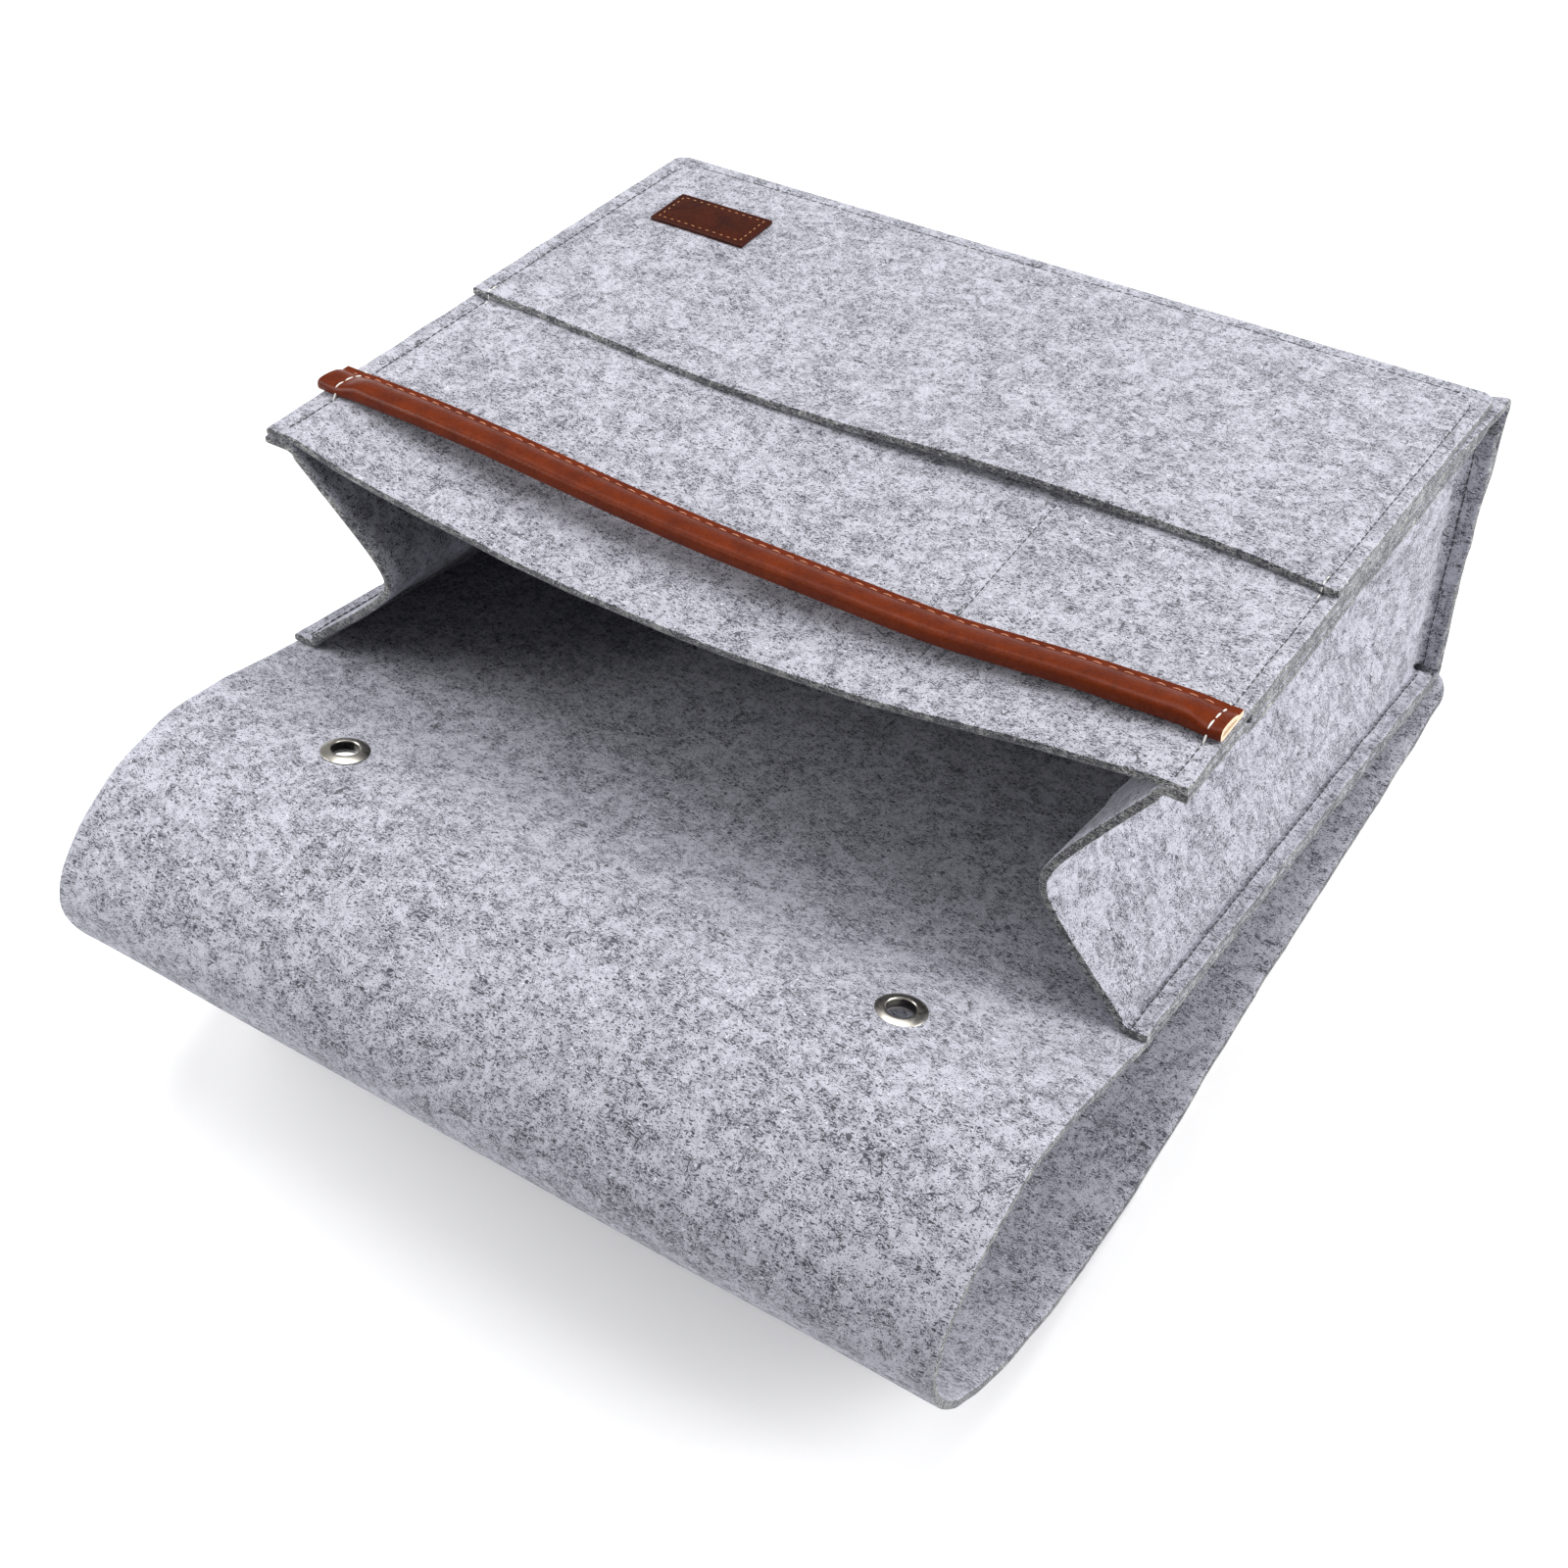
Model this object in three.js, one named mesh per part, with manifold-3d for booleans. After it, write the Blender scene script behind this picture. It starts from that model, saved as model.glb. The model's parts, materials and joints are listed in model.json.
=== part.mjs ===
import * as THREE from 'three';
import { mergeVertices } from 'three/addons/utils/BufferGeometryUtils.js';
import Module from 'manifold-3d';

// Felt bedside caddy lying on its back, its long flap folded under it. Millimetres and degrees.
// The mouth faces -Y, the pouch bottom faces +Y, and the flap lies on the floor at Z 0.

const feltThickness = 3;
const seamGap = 0.3;

// Pouch, over its outer faces
const pouchWidth = 320;
const panelHeight = 235;
const pouchDepth = 118;
const foldRadius = 6;
const backRise = 19;
const frontLean = 6;
const bottomSlant = 7;
const mouthSag = 15;

// Gussets
const seamBorder = 9;
const borderBend = 3;
const creaseRounding = 0.16;
const creaseRunOut = 45;

// Pockets
const frontPocketHeight = 133;
const frontPocketCorner = 11;
const innerPocketStart = 8;
const innerPocketInset = 41;
const innerPocketBelly = 9;
const dividerInset = 93;
const borderStep = 18;

// Strap
const strapInset = 32;
const strapWidth = 14;
const strapRise = 6.4;
const strapOverhang = 3;
const strapLift = 1.5;
const leatherThickness = 1.3;
const coreRecess = 0.6;

// Patch
const patchWidth = 39;
const patchHeight = 21.5;
const patchThickness = 1.5;
const patchCorner = 1.6;
const patchSideInset = 20;
const patchBottomInset = 35;

// Flap: a neck from the mouth, a crown, a bend that turns under and a flat tail
const neckReach = 76;
const neckRise = 28;
const bendReach = 127;
const noseHeight = 79;
const landingInset = 27;
const tailMargin = 4.5;
const tailCorner = 13;
const neckEase = 28;
const crownEase = 26;
const noseEaseUp = 18;
const noseEaseDown = 38;
const landingEase = 95;

// Eyelets
const eyeletInset = 57;
const eyeletSetback = 43;
const eyeletBore = 8;
const eyeletWall = 0.6;
const eyeletFlange = 14.6;
const eyeletDome = 1.7;
const washerDiameter = 14;
const washerThickness = 0.8;
const eyeletLip = 12.4;
const eyeletLipThickness = 0.8;

const wasm = await Module();
wasm.setup();

const radians = THREE.MathUtils.degToRad;
const smooth = THREE.MathUtils.smoothstep;
const halfWidth = pouchWidth / 2;
const seamLine = halfWidth - seamBorder;
const strapHeight = panelHeight - strapInset;
const innerPocketMouth = panelHeight - innerPocketInset;

const felt = { color: 0xc3c5cf, roughness: 0.96, metalness: 0 };
const strapLeather = { color: 0x8b4722, roughness: 0.5, metalness: 0 };
const patchLeather = { color: 0x47291c, roughness: 0.6, metalness: 0 };
const cotton = { color: 0xd9c6a4, roughness: 0.9, metalness: 0 };
const nickel = { color: 0xc9c6bf, roughness: 0.22, metalness: 1 };

const part = new THREE.Group();
const caddy = new THREE.Group();
const bag = new THREE.Group();
const front = new THREE.Group();
part.add(caddy);
caddy.add(bag);
bag.add(front);

function place(group, name, geometry, look) {
  const mesh = new THREE.Mesh(geometry, new THREE.MeshStandardMaterial(look));
  mesh.name = name;
  group.add(mesh);
  return mesh;
}

// Turns a closed surface so that its faces point out.
function facingOut(geometry) {
  const corners = geometry.getAttribute('position');
  const order = geometry.getIndex().array;
  const a = new THREE.Vector3();
  const b = new THREE.Vector3();
  const c = new THREE.Vector3();
  let volume = 0;
  for (let i = 0; i < order.length; i += 3) {
    a.fromBufferAttribute(corners, order[i]);
    b.fromBufferAttribute(corners, order[i + 1]);
    c.fromBufferAttribute(corners, order[i + 2]);
    volume += a.dot(b.cross(c));
  }
  if (volume < 0) {
    for (let i = 0; i < order.length; i += 3) {
      const swap = order[i];
      order[i] = order[i + 1];
      order[i + 1] = swap;
    }
  }
  geometry.computeVertexNormals();
  return geometry;
}

function welded(geometry) {
  const bare = geometry.clone();
  bare.deleteAttribute('normal');
  bare.deleteAttribute('uv');
  return facingOut(mergeVertices(bare, 1e-3));
}

// A felt sheet with its thickness laid evenly on both sides of a middle surface.
function feltSheet(middle, across, along) {
  const grid = across.map((u) => along.map((v) => middle(u, v)));
  const columns = across.length;
  const rows = along.length;
  const points = [];
  for (const side of [1, -1]) {
    for (let i = 0; i < columns; i++) {
      for (let j = 0; j < rows; j++) {
        const before = grid[Math.max(i - 1, 0)][j];
        const after = grid[Math.min(i + 1, columns - 1)][j];
        const below = grid[i][Math.max(j - 1, 0)];
        const above = grid[i][Math.min(j + 1, rows - 1)];
        const normal = after.clone().sub(before).cross(above.clone().sub(below)).normalize();
        const point = grid[i][j].clone().addScaledVector(normal, side * feltThickness / 2);
        points.push(point.x, point.y, point.z);
      }
    }
  }
  const at = (side, i, j) => side * columns * rows + i * rows + j;
  const order = [];
  const quad = (a, b, c, d) => order.push(a, b, c, a, c, d);
  for (let i = 0; i + 1 < columns; i++) {
    for (let j = 0; j + 1 < rows; j++) {
      quad(at(0, i, j), at(0, i + 1, j), at(0, i + 1, j + 1), at(0, i, j + 1));
      quad(at(1, i, j), at(1, i, j + 1), at(1, i + 1, j + 1), at(1, i + 1, j));
    }
  }
  for (let i = 0; i + 1 < columns; i++) {
    quad(at(0, i, 0), at(1, i, 0), at(1, i + 1, 0), at(0, i + 1, 0));
    quad(at(0, i + 1, rows - 1), at(1, i + 1, rows - 1), at(1, i, rows - 1), at(0, i, rows - 1));
  }
  for (let j = 0; j + 1 < rows; j++) {
    quad(at(0, 0, j + 1), at(1, 0, j + 1), at(1, 0, j), at(0, 0, j));
    quad(at(0, columns - 1, j), at(1, columns - 1, j), at(1, columns - 1, j + 1), at(0, columns - 1, j + 1));
  }
  const geometry = new THREE.BufferGeometry();
  geometry.setAttribute('position', new THREE.Float32BufferAttribute(points, 3));
  geometry.setIndex(order);
  return facingOut(geometry);
}

// A section drawn in Y and Z, drawn out along X about the middle of the pouch.
function drawnAlongX(section, length, steps, curveSegments) {
  const geometry = new THREE.ExtrudeGeometry(section, { depth: length, steps, curveSegments, bevelEnabled: false });
  const basis = new THREE.Matrix4().makeBasis(
    new THREE.Vector3(0, 1, 0),
    new THREE.Vector3(0, 0, 1),
    new THREE.Vector3(1, 0, 0),
  );
  geometry.applyMatrix4(basis);
  geometry.translate(-length / 2, 0, 0);
  return welded(geometry);
}

function solid(geometry) {
  const bare = welded(geometry);
  const corners = bare.getAttribute('position').array;
  const order = bare.getIndex().array;
  return new wasm.Manifold(new wasm.Mesh({
    numProp: 3,
    vertProperties: new Float32Array(corners),
    triVerts: new Uint32Array(order),
  }));
}

function shown(body) {
  const mesh = body.getMesh();
  const geometry = new THREE.BufferGeometry();
  geometry.setAttribute('position', new THREE.Float32BufferAttribute(mesh.vertProperties, 3));
  geometry.setIndex(Array.from(mesh.triVerts));
  geometry.computeVertexNormals();
  return geometry;
}

function evenly(from, to, steps) {
  return Array.from({ length: steps + 1 }, (_, i) => from + (to - from) * i / steps);
}

// The bag leans back on its bottom fold, which lies on the tail of the flap.
// The bottom runs from the back fold to the front fold, a little aslant, and both folds are round.
const rise = radians(backRise);
const lean = radians(frontLean);
const slant = radians(bottomSlant);
const backSetback = foldRadius / Math.tan((Math.PI / 2 - slant) / 2);
const frontSetback = foldRadius / Math.tan((Math.PI / 2 + slant - lean) / 2);
const upBottom = new THREE.Vector2(-Math.sin(slant), Math.cos(slant));
const outOfBottom = new THREE.Vector2(Math.cos(slant), Math.sin(slant));
const backFold = new THREE.Vector2(-backSetback, foldRadius);
const frontFold = upBottom.clone().multiplyScalar(pouchDepth - frontSetback);
frontFold.addScaledVector(outOfBottom, -foldRadius);
const foldLow = backSetback * Math.sin(rise) + foldRadius * Math.cos(rise) - foldRadius;
bag.rotation.x = -rise;
bag.position.z = feltThickness + seamGap - foldLow;
front.position.set(0, frontFold.x, frontFold.y);
front.rotation.x = lean;
caddy.updateMatrixWorld(true);

// Back panel
const backLength = panelHeight - backSetback - seamGap;
const backGeometry = new THREE.BoxGeometry(pouchWidth, backLength, feltThickness);
backGeometry.translate(0, -panelHeight + backLength / 2, feltThickness / 2);
place(bag, 'back_panel', welded(backGeometry), felt);

// Bottom panel with both folds
const foldInner = foldRadius - feltThickness;
const bottomSection = new THREE.Shape();
bottomSection.absarc(backFold.x, backFold.y, foldRadius, -Math.PI / 2, slant, false);
bottomSection.absarc(frontFold.x, frontFold.y, foldRadius, slant, Math.PI / 2, false);
bottomSection.absarc(frontFold.x, frontFold.y, foldInner, Math.PI / 2, slant, true);
bottomSection.absarc(backFold.x, backFold.y, foldInner, slant, -Math.PI / 2, true);
bottomSection.closePath();
place(bag, 'bottom_panel', drawnAlongX(bottomSection, pouchWidth, 1, 6), felt);

// Front panel: its mouth edge sags between the side seams. Heights run up from the pouch bottom.
const overFront = (height) => frontSetback - height;
const frontSag = (x, height) => {
  const share = 1 - (x / seamLine) ** 2;
  return mouthSag * (height / panelHeight) * Math.max(share, 0);
};
const panelColumns = [-halfWidth, ...evenly(-seamLine, seamLine, 14), halfWidth];
const frontMiddle = foldRadius - feltThickness / 2;
const frontStart = frontSetback + seamGap;
place(front, 'front_panel', feltSheet(
  (x, height) => new THREE.Vector3(x, overFront(height), frontMiddle - frontSag(x, height)),
  panelColumns,
  evenly(frontStart, panelHeight, 6),
), felt);

// Outer pocket: it stays taut across the sagging front, so its mouth gapes in the middle.
const pocketOutline = new THREE.Shape();
const pocketFoot = frontSetback + seamGap;
pocketOutline.moveTo(-halfWidth, overFront(frontPocketHeight));
pocketOutline.lineTo(halfWidth, overFront(frontPocketHeight));
pocketOutline.lineTo(halfWidth, overFront(pocketFoot + frontPocketCorner));
pocketOutline.absarc(
  halfWidth - frontPocketCorner,
  overFront(pocketFoot + frontPocketCorner),
  frontPocketCorner,
  0,
  Math.PI / 2,
  false,
);
pocketOutline.absarc(
  frontPocketCorner - halfWidth,
  overFront(pocketFoot + frontPocketCorner),
  frontPocketCorner,
  Math.PI / 2,
  Math.PI,
  false,
);
pocketOutline.closePath();
const pocketGeometry = new THREE.ExtrudeGeometry(pocketOutline, {
  depth: feltThickness,
  curveSegments: 8,
  bevelEnabled: false,
});
const pocketSeat = foldRadius + seamGap;
pocketGeometry.translate(0, 0, pocketSeat);
place(front, 'front_pocket', welded(pocketGeometry), felt);

// Inner pocket: sewn at the sides and at the dividing seam, it bellies into two compartments.
const divider = halfWidth - dividerInset;
const belly = (x, height) => {
  const left = x < divider;
  const start = left ? -seamLine : divider;
  const end = left ? divider : seamLine;
  const share = Math.min(Math.max((x - start) / (end - start), 0), 1);
  const open = (height - innerPocketStart) / (innerPocketMouth - innerPocketStart);
  return innerPocketBelly * open * 4 * share * (1 - share);
};
const innerMiddle = frontMiddle - feltThickness - seamGap;
const innerColumns = [
  -halfWidth,
  ...evenly(-seamLine, divider, 10),
  ...evenly(divider, seamLine, 5).slice(1),
  halfWidth,
];
place(front, 'inner_pocket', feltSheet(
  (x, height) => new THREE.Vector3(
    x,
    overFront(height),
    innerMiddle - frontSag(x, height) - belly(x, height),
  ),
  innerColumns,
  evenly(innerPocketStart, innerPocketMouth, 6),
), felt);

// Gussets: a creased wall with borders turned out under the front, over the back and on the bottom.
const backBorder = feltThickness * 1.5 + seamGap;
const wallX = seamLine;
const pocketStep = innerPocketMouth + seamGap;
const stackAt = (height) => {
  const covered = 1 - smooth(height, pocketStep, pocketStep + borderStep);
  return (feltThickness + seamGap) * (1 + covered);
};
const frontBorder = (height) => {
  const point = new THREE.Vector3(0, overFront(height), foldRadius - stackAt(height) - feltThickness / 2);
  return point.applyMatrix4(front.matrix);
};
const gussetStart = foldRadius + seamGap;
const footAt = (height) => new THREE.Vector3(0, -height, backBorder);
const wallLength = frontBorder(gussetStart).distanceTo(footAt(gussetStart));
function gussetSection(height) {
  const foot = footAt(height);
  const rising = frontBorder(height).sub(foot);
  const span = rising.length();
  const slack = Math.max((wallLength / 2) ** 2 - (span / 2) ** 2, 0);
  const ease = smooth(height, gussetStart, gussetStart + creaseRunOut);
  const crease = Math.sqrt(slack) * ease;
  const bend = borderBend / span;
  const turn = 1 - Math.SQRT1_2;
  const edge = halfWidth - wallX;
  const line = [
    [edge, 0],
    [borderBend, 0],
    [borderBend * turn, bend * turn],
    [0, bend],
  ];
  for (const share of evenly(bend, 1 - bend, 14).slice(1, -1)) {
    const off = Math.hypot(2 * share - 1, creaseRounding);
    const whole = Math.hypot(1, creaseRounding);
    line.push([-crease * (whole - off) / (whole - creaseRounding), share]);
  }
  line.push([0, 1 - bend], [borderBend * turn, 1 - bend * turn], [borderBend, 1], [edge, 1]);
  return line.map(([out, share]) => foot.clone().addScaledVector(rising, share).setX(wallX + out));
}
function gusset(side) {
  const heights = [
    ...evenly(gussetStart, pocketStep, 12),
    ...evenly(pocketStep, pocketStep + borderStep, 3).slice(1),
    panelHeight,
  ];
  const sections = heights.map(gussetSection);
  const mirrored = (point) => point.clone().setX(side * point.x);
  const wall = feltSheet(
    (i, j) => mirrored(sections[j][i]),
    sections[0].map((_, i) => i),
    heights.map((_, j) => j),
  );
  const low = foldRadius + seamGap;
  const high = wallLength;
  const borderThickness = feltThickness + seamGap;
  const border = new THREE.BoxGeometry(halfWidth - wallX + feltThickness / 2, borderThickness, high - low);
  border.translate(
    side * (halfWidth + wallX - feltThickness / 2) / 2,
    -feltThickness - seamGap - borderThickness / 2,
    (high + low) / 2,
  );
  border.rotateX(slant);
  return shown(solid(wall).add(solid(border)));
}
place(bag, 'right_gusset', gusset(1), felt);
place(bag, 'left_gusset', gusset(-1), felt);

// Strap: a leather cover folded round a filler cord and sewn along the edge away from the mouth.
const strapHalf = strapWidth / 2;
const strapLength = pouchWidth + 2 * strapOverhang;
const seamEdge = 2 * leatherThickness;
const coverSection = new THREE.Shape();
coverSection.moveTo(strapHalf, 0);
coverSection.lineTo(strapHalf, seamEdge);
coverSection.bezierCurveTo(strapHalf / 2, seamEdge, strapHalf / 2, strapRise, -strapHalf / 4, strapRise);
coverSection.bezierCurveTo(-strapHalf * 0.8, strapRise, -strapHalf, strapRise * 0.8, -strapHalf, strapRise / 2);
coverSection.bezierCurveTo(-strapHalf, strapRise * 0.15, -strapHalf * 0.8, 0, -strapHalf / 2, 0);
coverSection.closePath();
const coreMiddle = -strapHalf / 4;
const coreHeight = strapRise / 2 - leatherThickness;
const coreWidth = strapHalf * 0.75 - leatherThickness;
const coverBore = new THREE.Path();
coverBore.absellipse(coreMiddle, strapRise / 2, coreWidth, coreHeight, 0, 2 * Math.PI, false);
coverSection.holes.push(coverBore);
const coreSection = new THREE.Shape();
coreSection.absellipse(
  coreMiddle,
  strapRise / 2,
  coreWidth - seamGap,
  coreHeight - seamGap,
  0,
  2 * Math.PI,
  false,
);
function laidOnFront(section, length, curveSegments) {
  const columns = [-length / 2, ...panelColumns, length / 2];
  const steps = columns.length - 1;
  const geometry = drawnAlongX(section, length, steps, curveSegments);
  const corners = geometry.getAttribute('position');
  for (let i = 0; i < corners.count; i++) {
    const x = columns[Math.round((corners.getX(i) / length + 0.5) * steps)];
    const free = Math.max(1 - (x / seamLine) ** 2, 0);
    const sag = frontSag(x, strapHeight - strapHalf) - strapLift * free;
    corners.setX(i, x);
    corners.setY(i, corners.getY(i) + overFront(strapHeight));
    corners.setZ(i, corners.getZ(i) + foldRadius + seamGap - Math.max(sag, 0));
  }
  return facingOut(geometry);
}
place(front, 'strap_cover', laidOnFront(coverSection, strapLength, 4), strapLeather);
place(front, 'strap_core', laidOnFront(coreSection, strapLength - 2 * coreRecess, 10), cotton);

// Patch on the outer pocket
const patchOutline = new THREE.Shape();
const patchRight = patchWidth - patchCorner;
const patchTop = patchHeight - patchCorner;
patchOutline.absarc(patchCorner, patchCorner, patchCorner, Math.PI, Math.PI * 1.5, false);
patchOutline.absarc(patchRight, patchCorner, patchCorner, -Math.PI / 2, 0, false);
patchOutline.absarc(patchRight, patchTop, patchCorner, 0, Math.PI / 2, false);
patchOutline.absarc(patchCorner, patchTop, patchCorner, Math.PI / 2, Math.PI, false);
patchOutline.closePath();
const patchGeometry = new THREE.ExtrudeGeometry(patchOutline, {
  depth: patchThickness,
  curveSegments: 4,
  bevelEnabled: false,
});
patchGeometry.translate(
  patchSideInset - halfWidth,
  overFront(patchBottomInset + patchHeight),
  pocketSeat + feltThickness + seamGap,
);
place(front, 'patch', welded(patchGeometry), patchLeather);

// Flap: its outer line leaves the mouth along the back panel, crowns, turns under and lands.
const mouth = new THREE.Vector3(0, -panelHeight - seamGap, feltThickness).applyMatrix4(bag.matrix);
const mouthEdge = new THREE.Vector2(mouth.y, mouth.z);
const backward = new THREE.Vector2(-Math.cos(rise), Math.sin(rise));
const crown = new THREE.Vector2(mouthEdge.x - neckReach, mouthEdge.y + neckRise);
const nose = new THREE.Vector2(mouthEdge.x - bendReach, noseHeight);
const landing = new THREE.Vector2(mouthEdge.x + landingInset, 0);
const neckLine = new THREE.CubicBezierCurve(
  mouthEdge,
  mouthEdge.clone().addScaledVector(backward, neckEase),
  new THREE.Vector2(crown.x + neckEase, crown.y),
  crown,
);
const crownLine = new THREE.CubicBezierCurve(
  crown,
  new THREE.Vector2(crown.x - crownEase, crown.y),
  new THREE.Vector2(nose.x, nose.y + noseEaseUp),
  nose,
);
const underLine = new THREE.CubicBezierCurve(
  nose,
  new THREE.Vector2(nose.x, nose.y - noseEaseDown),
  new THREE.Vector2(landing.x - landingEase, landing.y),
  landing,
);
function feltAlong(line, start, steps) {
  const shares = evenly(start / line.getLength(), 1, steps);
  const outer = shares.map((share) => line.getPointAt(share));
  const inner = shares.map((share) => {
    const point = line.getPointAt(share);
    const tangent = line.getTangentAt(share);
    return new THREE.Vector2(point.x - tangent.y * feltThickness, point.y + tangent.x * feltThickness);
  });
  return drawnAlongX(new THREE.Shape([...outer, ...inner.reverse()]), pouchWidth, 1, 1);
}

// Eyelets set through the neck, each with a washer behind the felt
const eyeletAt = eyeletSetback / neckLine.getLength();
const eyeletPoint = neckLine.getPointAt(eyeletAt);
const eyeletTangent = neckLine.getTangentAt(eyeletAt);
const eyeletNormal = new THREE.Vector3(0, eyeletTangent.y, -eyeletTangent.x);
const bore = eyeletBore / 2;
const barrel = bore + eyeletWall;
const flange = eyeletFlange / 2;
const feltHole = barrel + seamGap;
const washerTop = -feltThickness - seamGap;
const lipTop = washerTop - washerThickness - seamGap;
const onNeck = (object, side) => {
  object.position.set(side * (halfWidth - eyeletInset), eyeletPoint.x, eyeletPoint.y);
  object.quaternion.setFromUnitVectors(new THREE.Vector3(0, 1, 0), eyeletNormal);
  return object;
};
const turned = (profile) => {
  const points = profile.map(([radius, height]) => new THREE.Vector2(radius, height));
  return welded(new THREE.LatheGeometry([...points, points[0]], 32));
};
const eyeletProfile = [
  [bore, seamGap + eyeletDome * 0.55],
  [bore + eyeletWall * 0.6, seamGap + eyeletDome * 0.9],
  [barrel + eyeletWall, seamGap + eyeletDome],
  [(barrel + flange) / 2, seamGap + eyeletDome * 0.9],
  [flange - eyeletWall, seamGap + eyeletDome * 0.45],
  [flange, seamGap],
  [barrel, seamGap],
  [barrel, lipTop],
  [eyeletLip / 2, lipTop],
  [eyeletLip / 2 - eyeletLipThickness / 2, lipTop - eyeletLipThickness],
  [barrel, lipTop - eyeletLipThickness],
  [bore, lipTop],
];
const washerProfile = [
  [feltHole, washerTop],
  [washerDiameter / 2, washerTop],
  [washerDiameter / 2, washerTop - washerThickness],
  [feltHole, washerTop - washerThickness],
];
let neck = solid(feltAlong(neckLine, 0, 10));
for (const side of [-1, 1]) {
  const name = side < 0 ? 'left' : 'right';
  const punch = onNeck(new THREE.Object3D(), side);
  punch.updateMatrix();
  const hole = new THREE.CylinderGeometry(feltHole, feltHole, feltThickness * 4, 32);
  neck = neck.subtract(solid(hole.applyMatrix4(punch.matrix)));
  onNeck(place(caddy, `${name}_eyelet`, turned(eyeletProfile), nickel), side);
  onNeck(place(caddy, `${name}_washer`, turned(washerProfile), nickel), side);
}
place(caddy, 'flap_neck', shown(neck), felt);

place(caddy, 'flap_crown', feltAlong(crownLine, seamGap, 12), felt);
place(caddy, 'flap_bend', feltAlong(underLine, seamGap, 18), felt);

// Tail flat on the floor to just past the pouch bottom, with rounded far corners
const tailStart = landing.x + seamGap;
const tailEnd = tailMargin;
const tailOutline = new THREE.Shape();
tailOutline.moveTo(-halfWidth, tailStart);
tailOutline.lineTo(halfWidth, tailStart);
tailOutline.absarc(halfWidth - tailCorner, tailEnd - tailCorner, tailCorner, 0, Math.PI / 2, false);
tailOutline.absarc(tailCorner - halfWidth, tailEnd - tailCorner, tailCorner, Math.PI / 2, Math.PI, false);
tailOutline.closePath();
const tailGeometry = new THREE.ExtrudeGeometry(tailOutline, {
  depth: feltThickness,
  curveSegments: 8,
  bevelEnabled: false,
});
place(caddy, 'flap_tail', welded(tailGeometry), felt);

// The origin is under the middle of the whole part.
part.updateMatrixWorld(true);
const box = new THREE.Box3().setFromObject(caddy, true);
const middle = box.getCenter(new THREE.Vector3());
caddy.position.set(-middle.x, -middle.y, -box.min.z);
part.updateMatrixWorld(true);

export default part;
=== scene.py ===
import json
from functools import partial
from math import cos, exp, hypot, pi, radians, sin, sqrt, tan

import bpy
from mathutils import Matrix, Vector, noise


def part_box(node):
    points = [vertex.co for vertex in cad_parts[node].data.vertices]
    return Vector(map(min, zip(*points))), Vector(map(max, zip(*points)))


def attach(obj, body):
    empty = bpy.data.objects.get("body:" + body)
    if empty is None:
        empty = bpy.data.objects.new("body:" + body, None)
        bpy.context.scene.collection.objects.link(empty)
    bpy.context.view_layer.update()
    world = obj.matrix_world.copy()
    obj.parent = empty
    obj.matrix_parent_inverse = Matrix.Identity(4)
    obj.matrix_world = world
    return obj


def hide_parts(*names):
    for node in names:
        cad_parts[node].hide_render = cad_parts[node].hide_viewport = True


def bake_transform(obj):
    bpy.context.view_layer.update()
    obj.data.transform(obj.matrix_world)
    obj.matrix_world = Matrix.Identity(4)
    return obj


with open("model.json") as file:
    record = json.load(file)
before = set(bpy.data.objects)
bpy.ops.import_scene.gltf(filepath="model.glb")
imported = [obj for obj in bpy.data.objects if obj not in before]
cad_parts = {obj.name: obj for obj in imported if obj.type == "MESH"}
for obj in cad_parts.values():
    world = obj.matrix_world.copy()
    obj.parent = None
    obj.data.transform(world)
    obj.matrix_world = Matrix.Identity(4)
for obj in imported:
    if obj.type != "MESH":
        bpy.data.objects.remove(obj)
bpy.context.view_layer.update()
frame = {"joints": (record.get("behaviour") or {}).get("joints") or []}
mm = 0.001


def inMetres(value):
    return tuple(map(inMetres, value)) if isinstance(value, tuple) else value * mm


def lengths(**values):  # given in millimetres, kept in metres
    return {name: inMetres(value) for name, value in values.items()}


pouch = {  # how the caddy lies, in degrees, and how it is cut
    "backRise": 19, "frontTilt": 13, "bottomSlant": 7,
    "mouthLine": [  # (x, depth) of the front's sag along the mouth edge, in millimetres
        (-151, 0), (-132, 4.3), (-111, 7.8), (-93, 10.2), (-74, 12.5), (-55, 14.3), (-36, 15.6),
        (-15, 16.1), (15, 15.9), (40, 14.6), (60, 13.2), (76, 10.8), (92, 8.2), (104, 6.2),
        (118, 4.2), (134, 2.3), (151, 0.6),
    ],
    "lowLine": [  # and along the outer pocket's mouth
        (-151, 0), (-127, 1), (-101, 2.5), (-75, 4.3), (-51, 4.9), (-28, 4.6), (-7, 3.7),
        (13, 2.5), (34, 1.2), (54, 0.5), (73, 0.3), (93, 0.2), (120, 0.2), (151, 0),
    ],
    **lengths(
        felt=3, gap=0.3, height=235, depth=118, border=9, stitchInset=5, edgeRound=0.7,
        fold=6,  # outer radius of the two bottom folds
        lowHeight=131, gape=2.6,  # between the front and the outer pocket's mouth
        gapeMiddle=40, gapeWidth=50, gapeEnds=20,
        leftLift=6.5, rightDrop=4, leftSpread=3,
        valley=0.55, valleyWidth=0.9, valleyEnd=(6.2, 10.2),
    ),
}
felt, gap, fold = pouch["felt"], pouch["gap"], pouch["fold"]
height = pouch["height"]
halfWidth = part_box("back_panel")[1].x
seamLine = halfWidth - pouch["border"]
stitchLine = halfWidth - pouch["stitchInset"]
joints = {joint["name"]: joint for joint in frame["joints"]}
frontHinge = Vector(joints["mouth_fold"]["pos_m"])


def heading(degrees):  # a direction in the side view, from +Y up towards +Z
    return Vector((0, cos(radians(degrees)), sin(radians(degrees))))


def ramp(value, start, end):  # 0 at start, 1 at end, smooth between
    share = min(max((value - start) / (end - start), 0.0), 1.0)
    return share * share * (3 - 2 * share)


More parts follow.
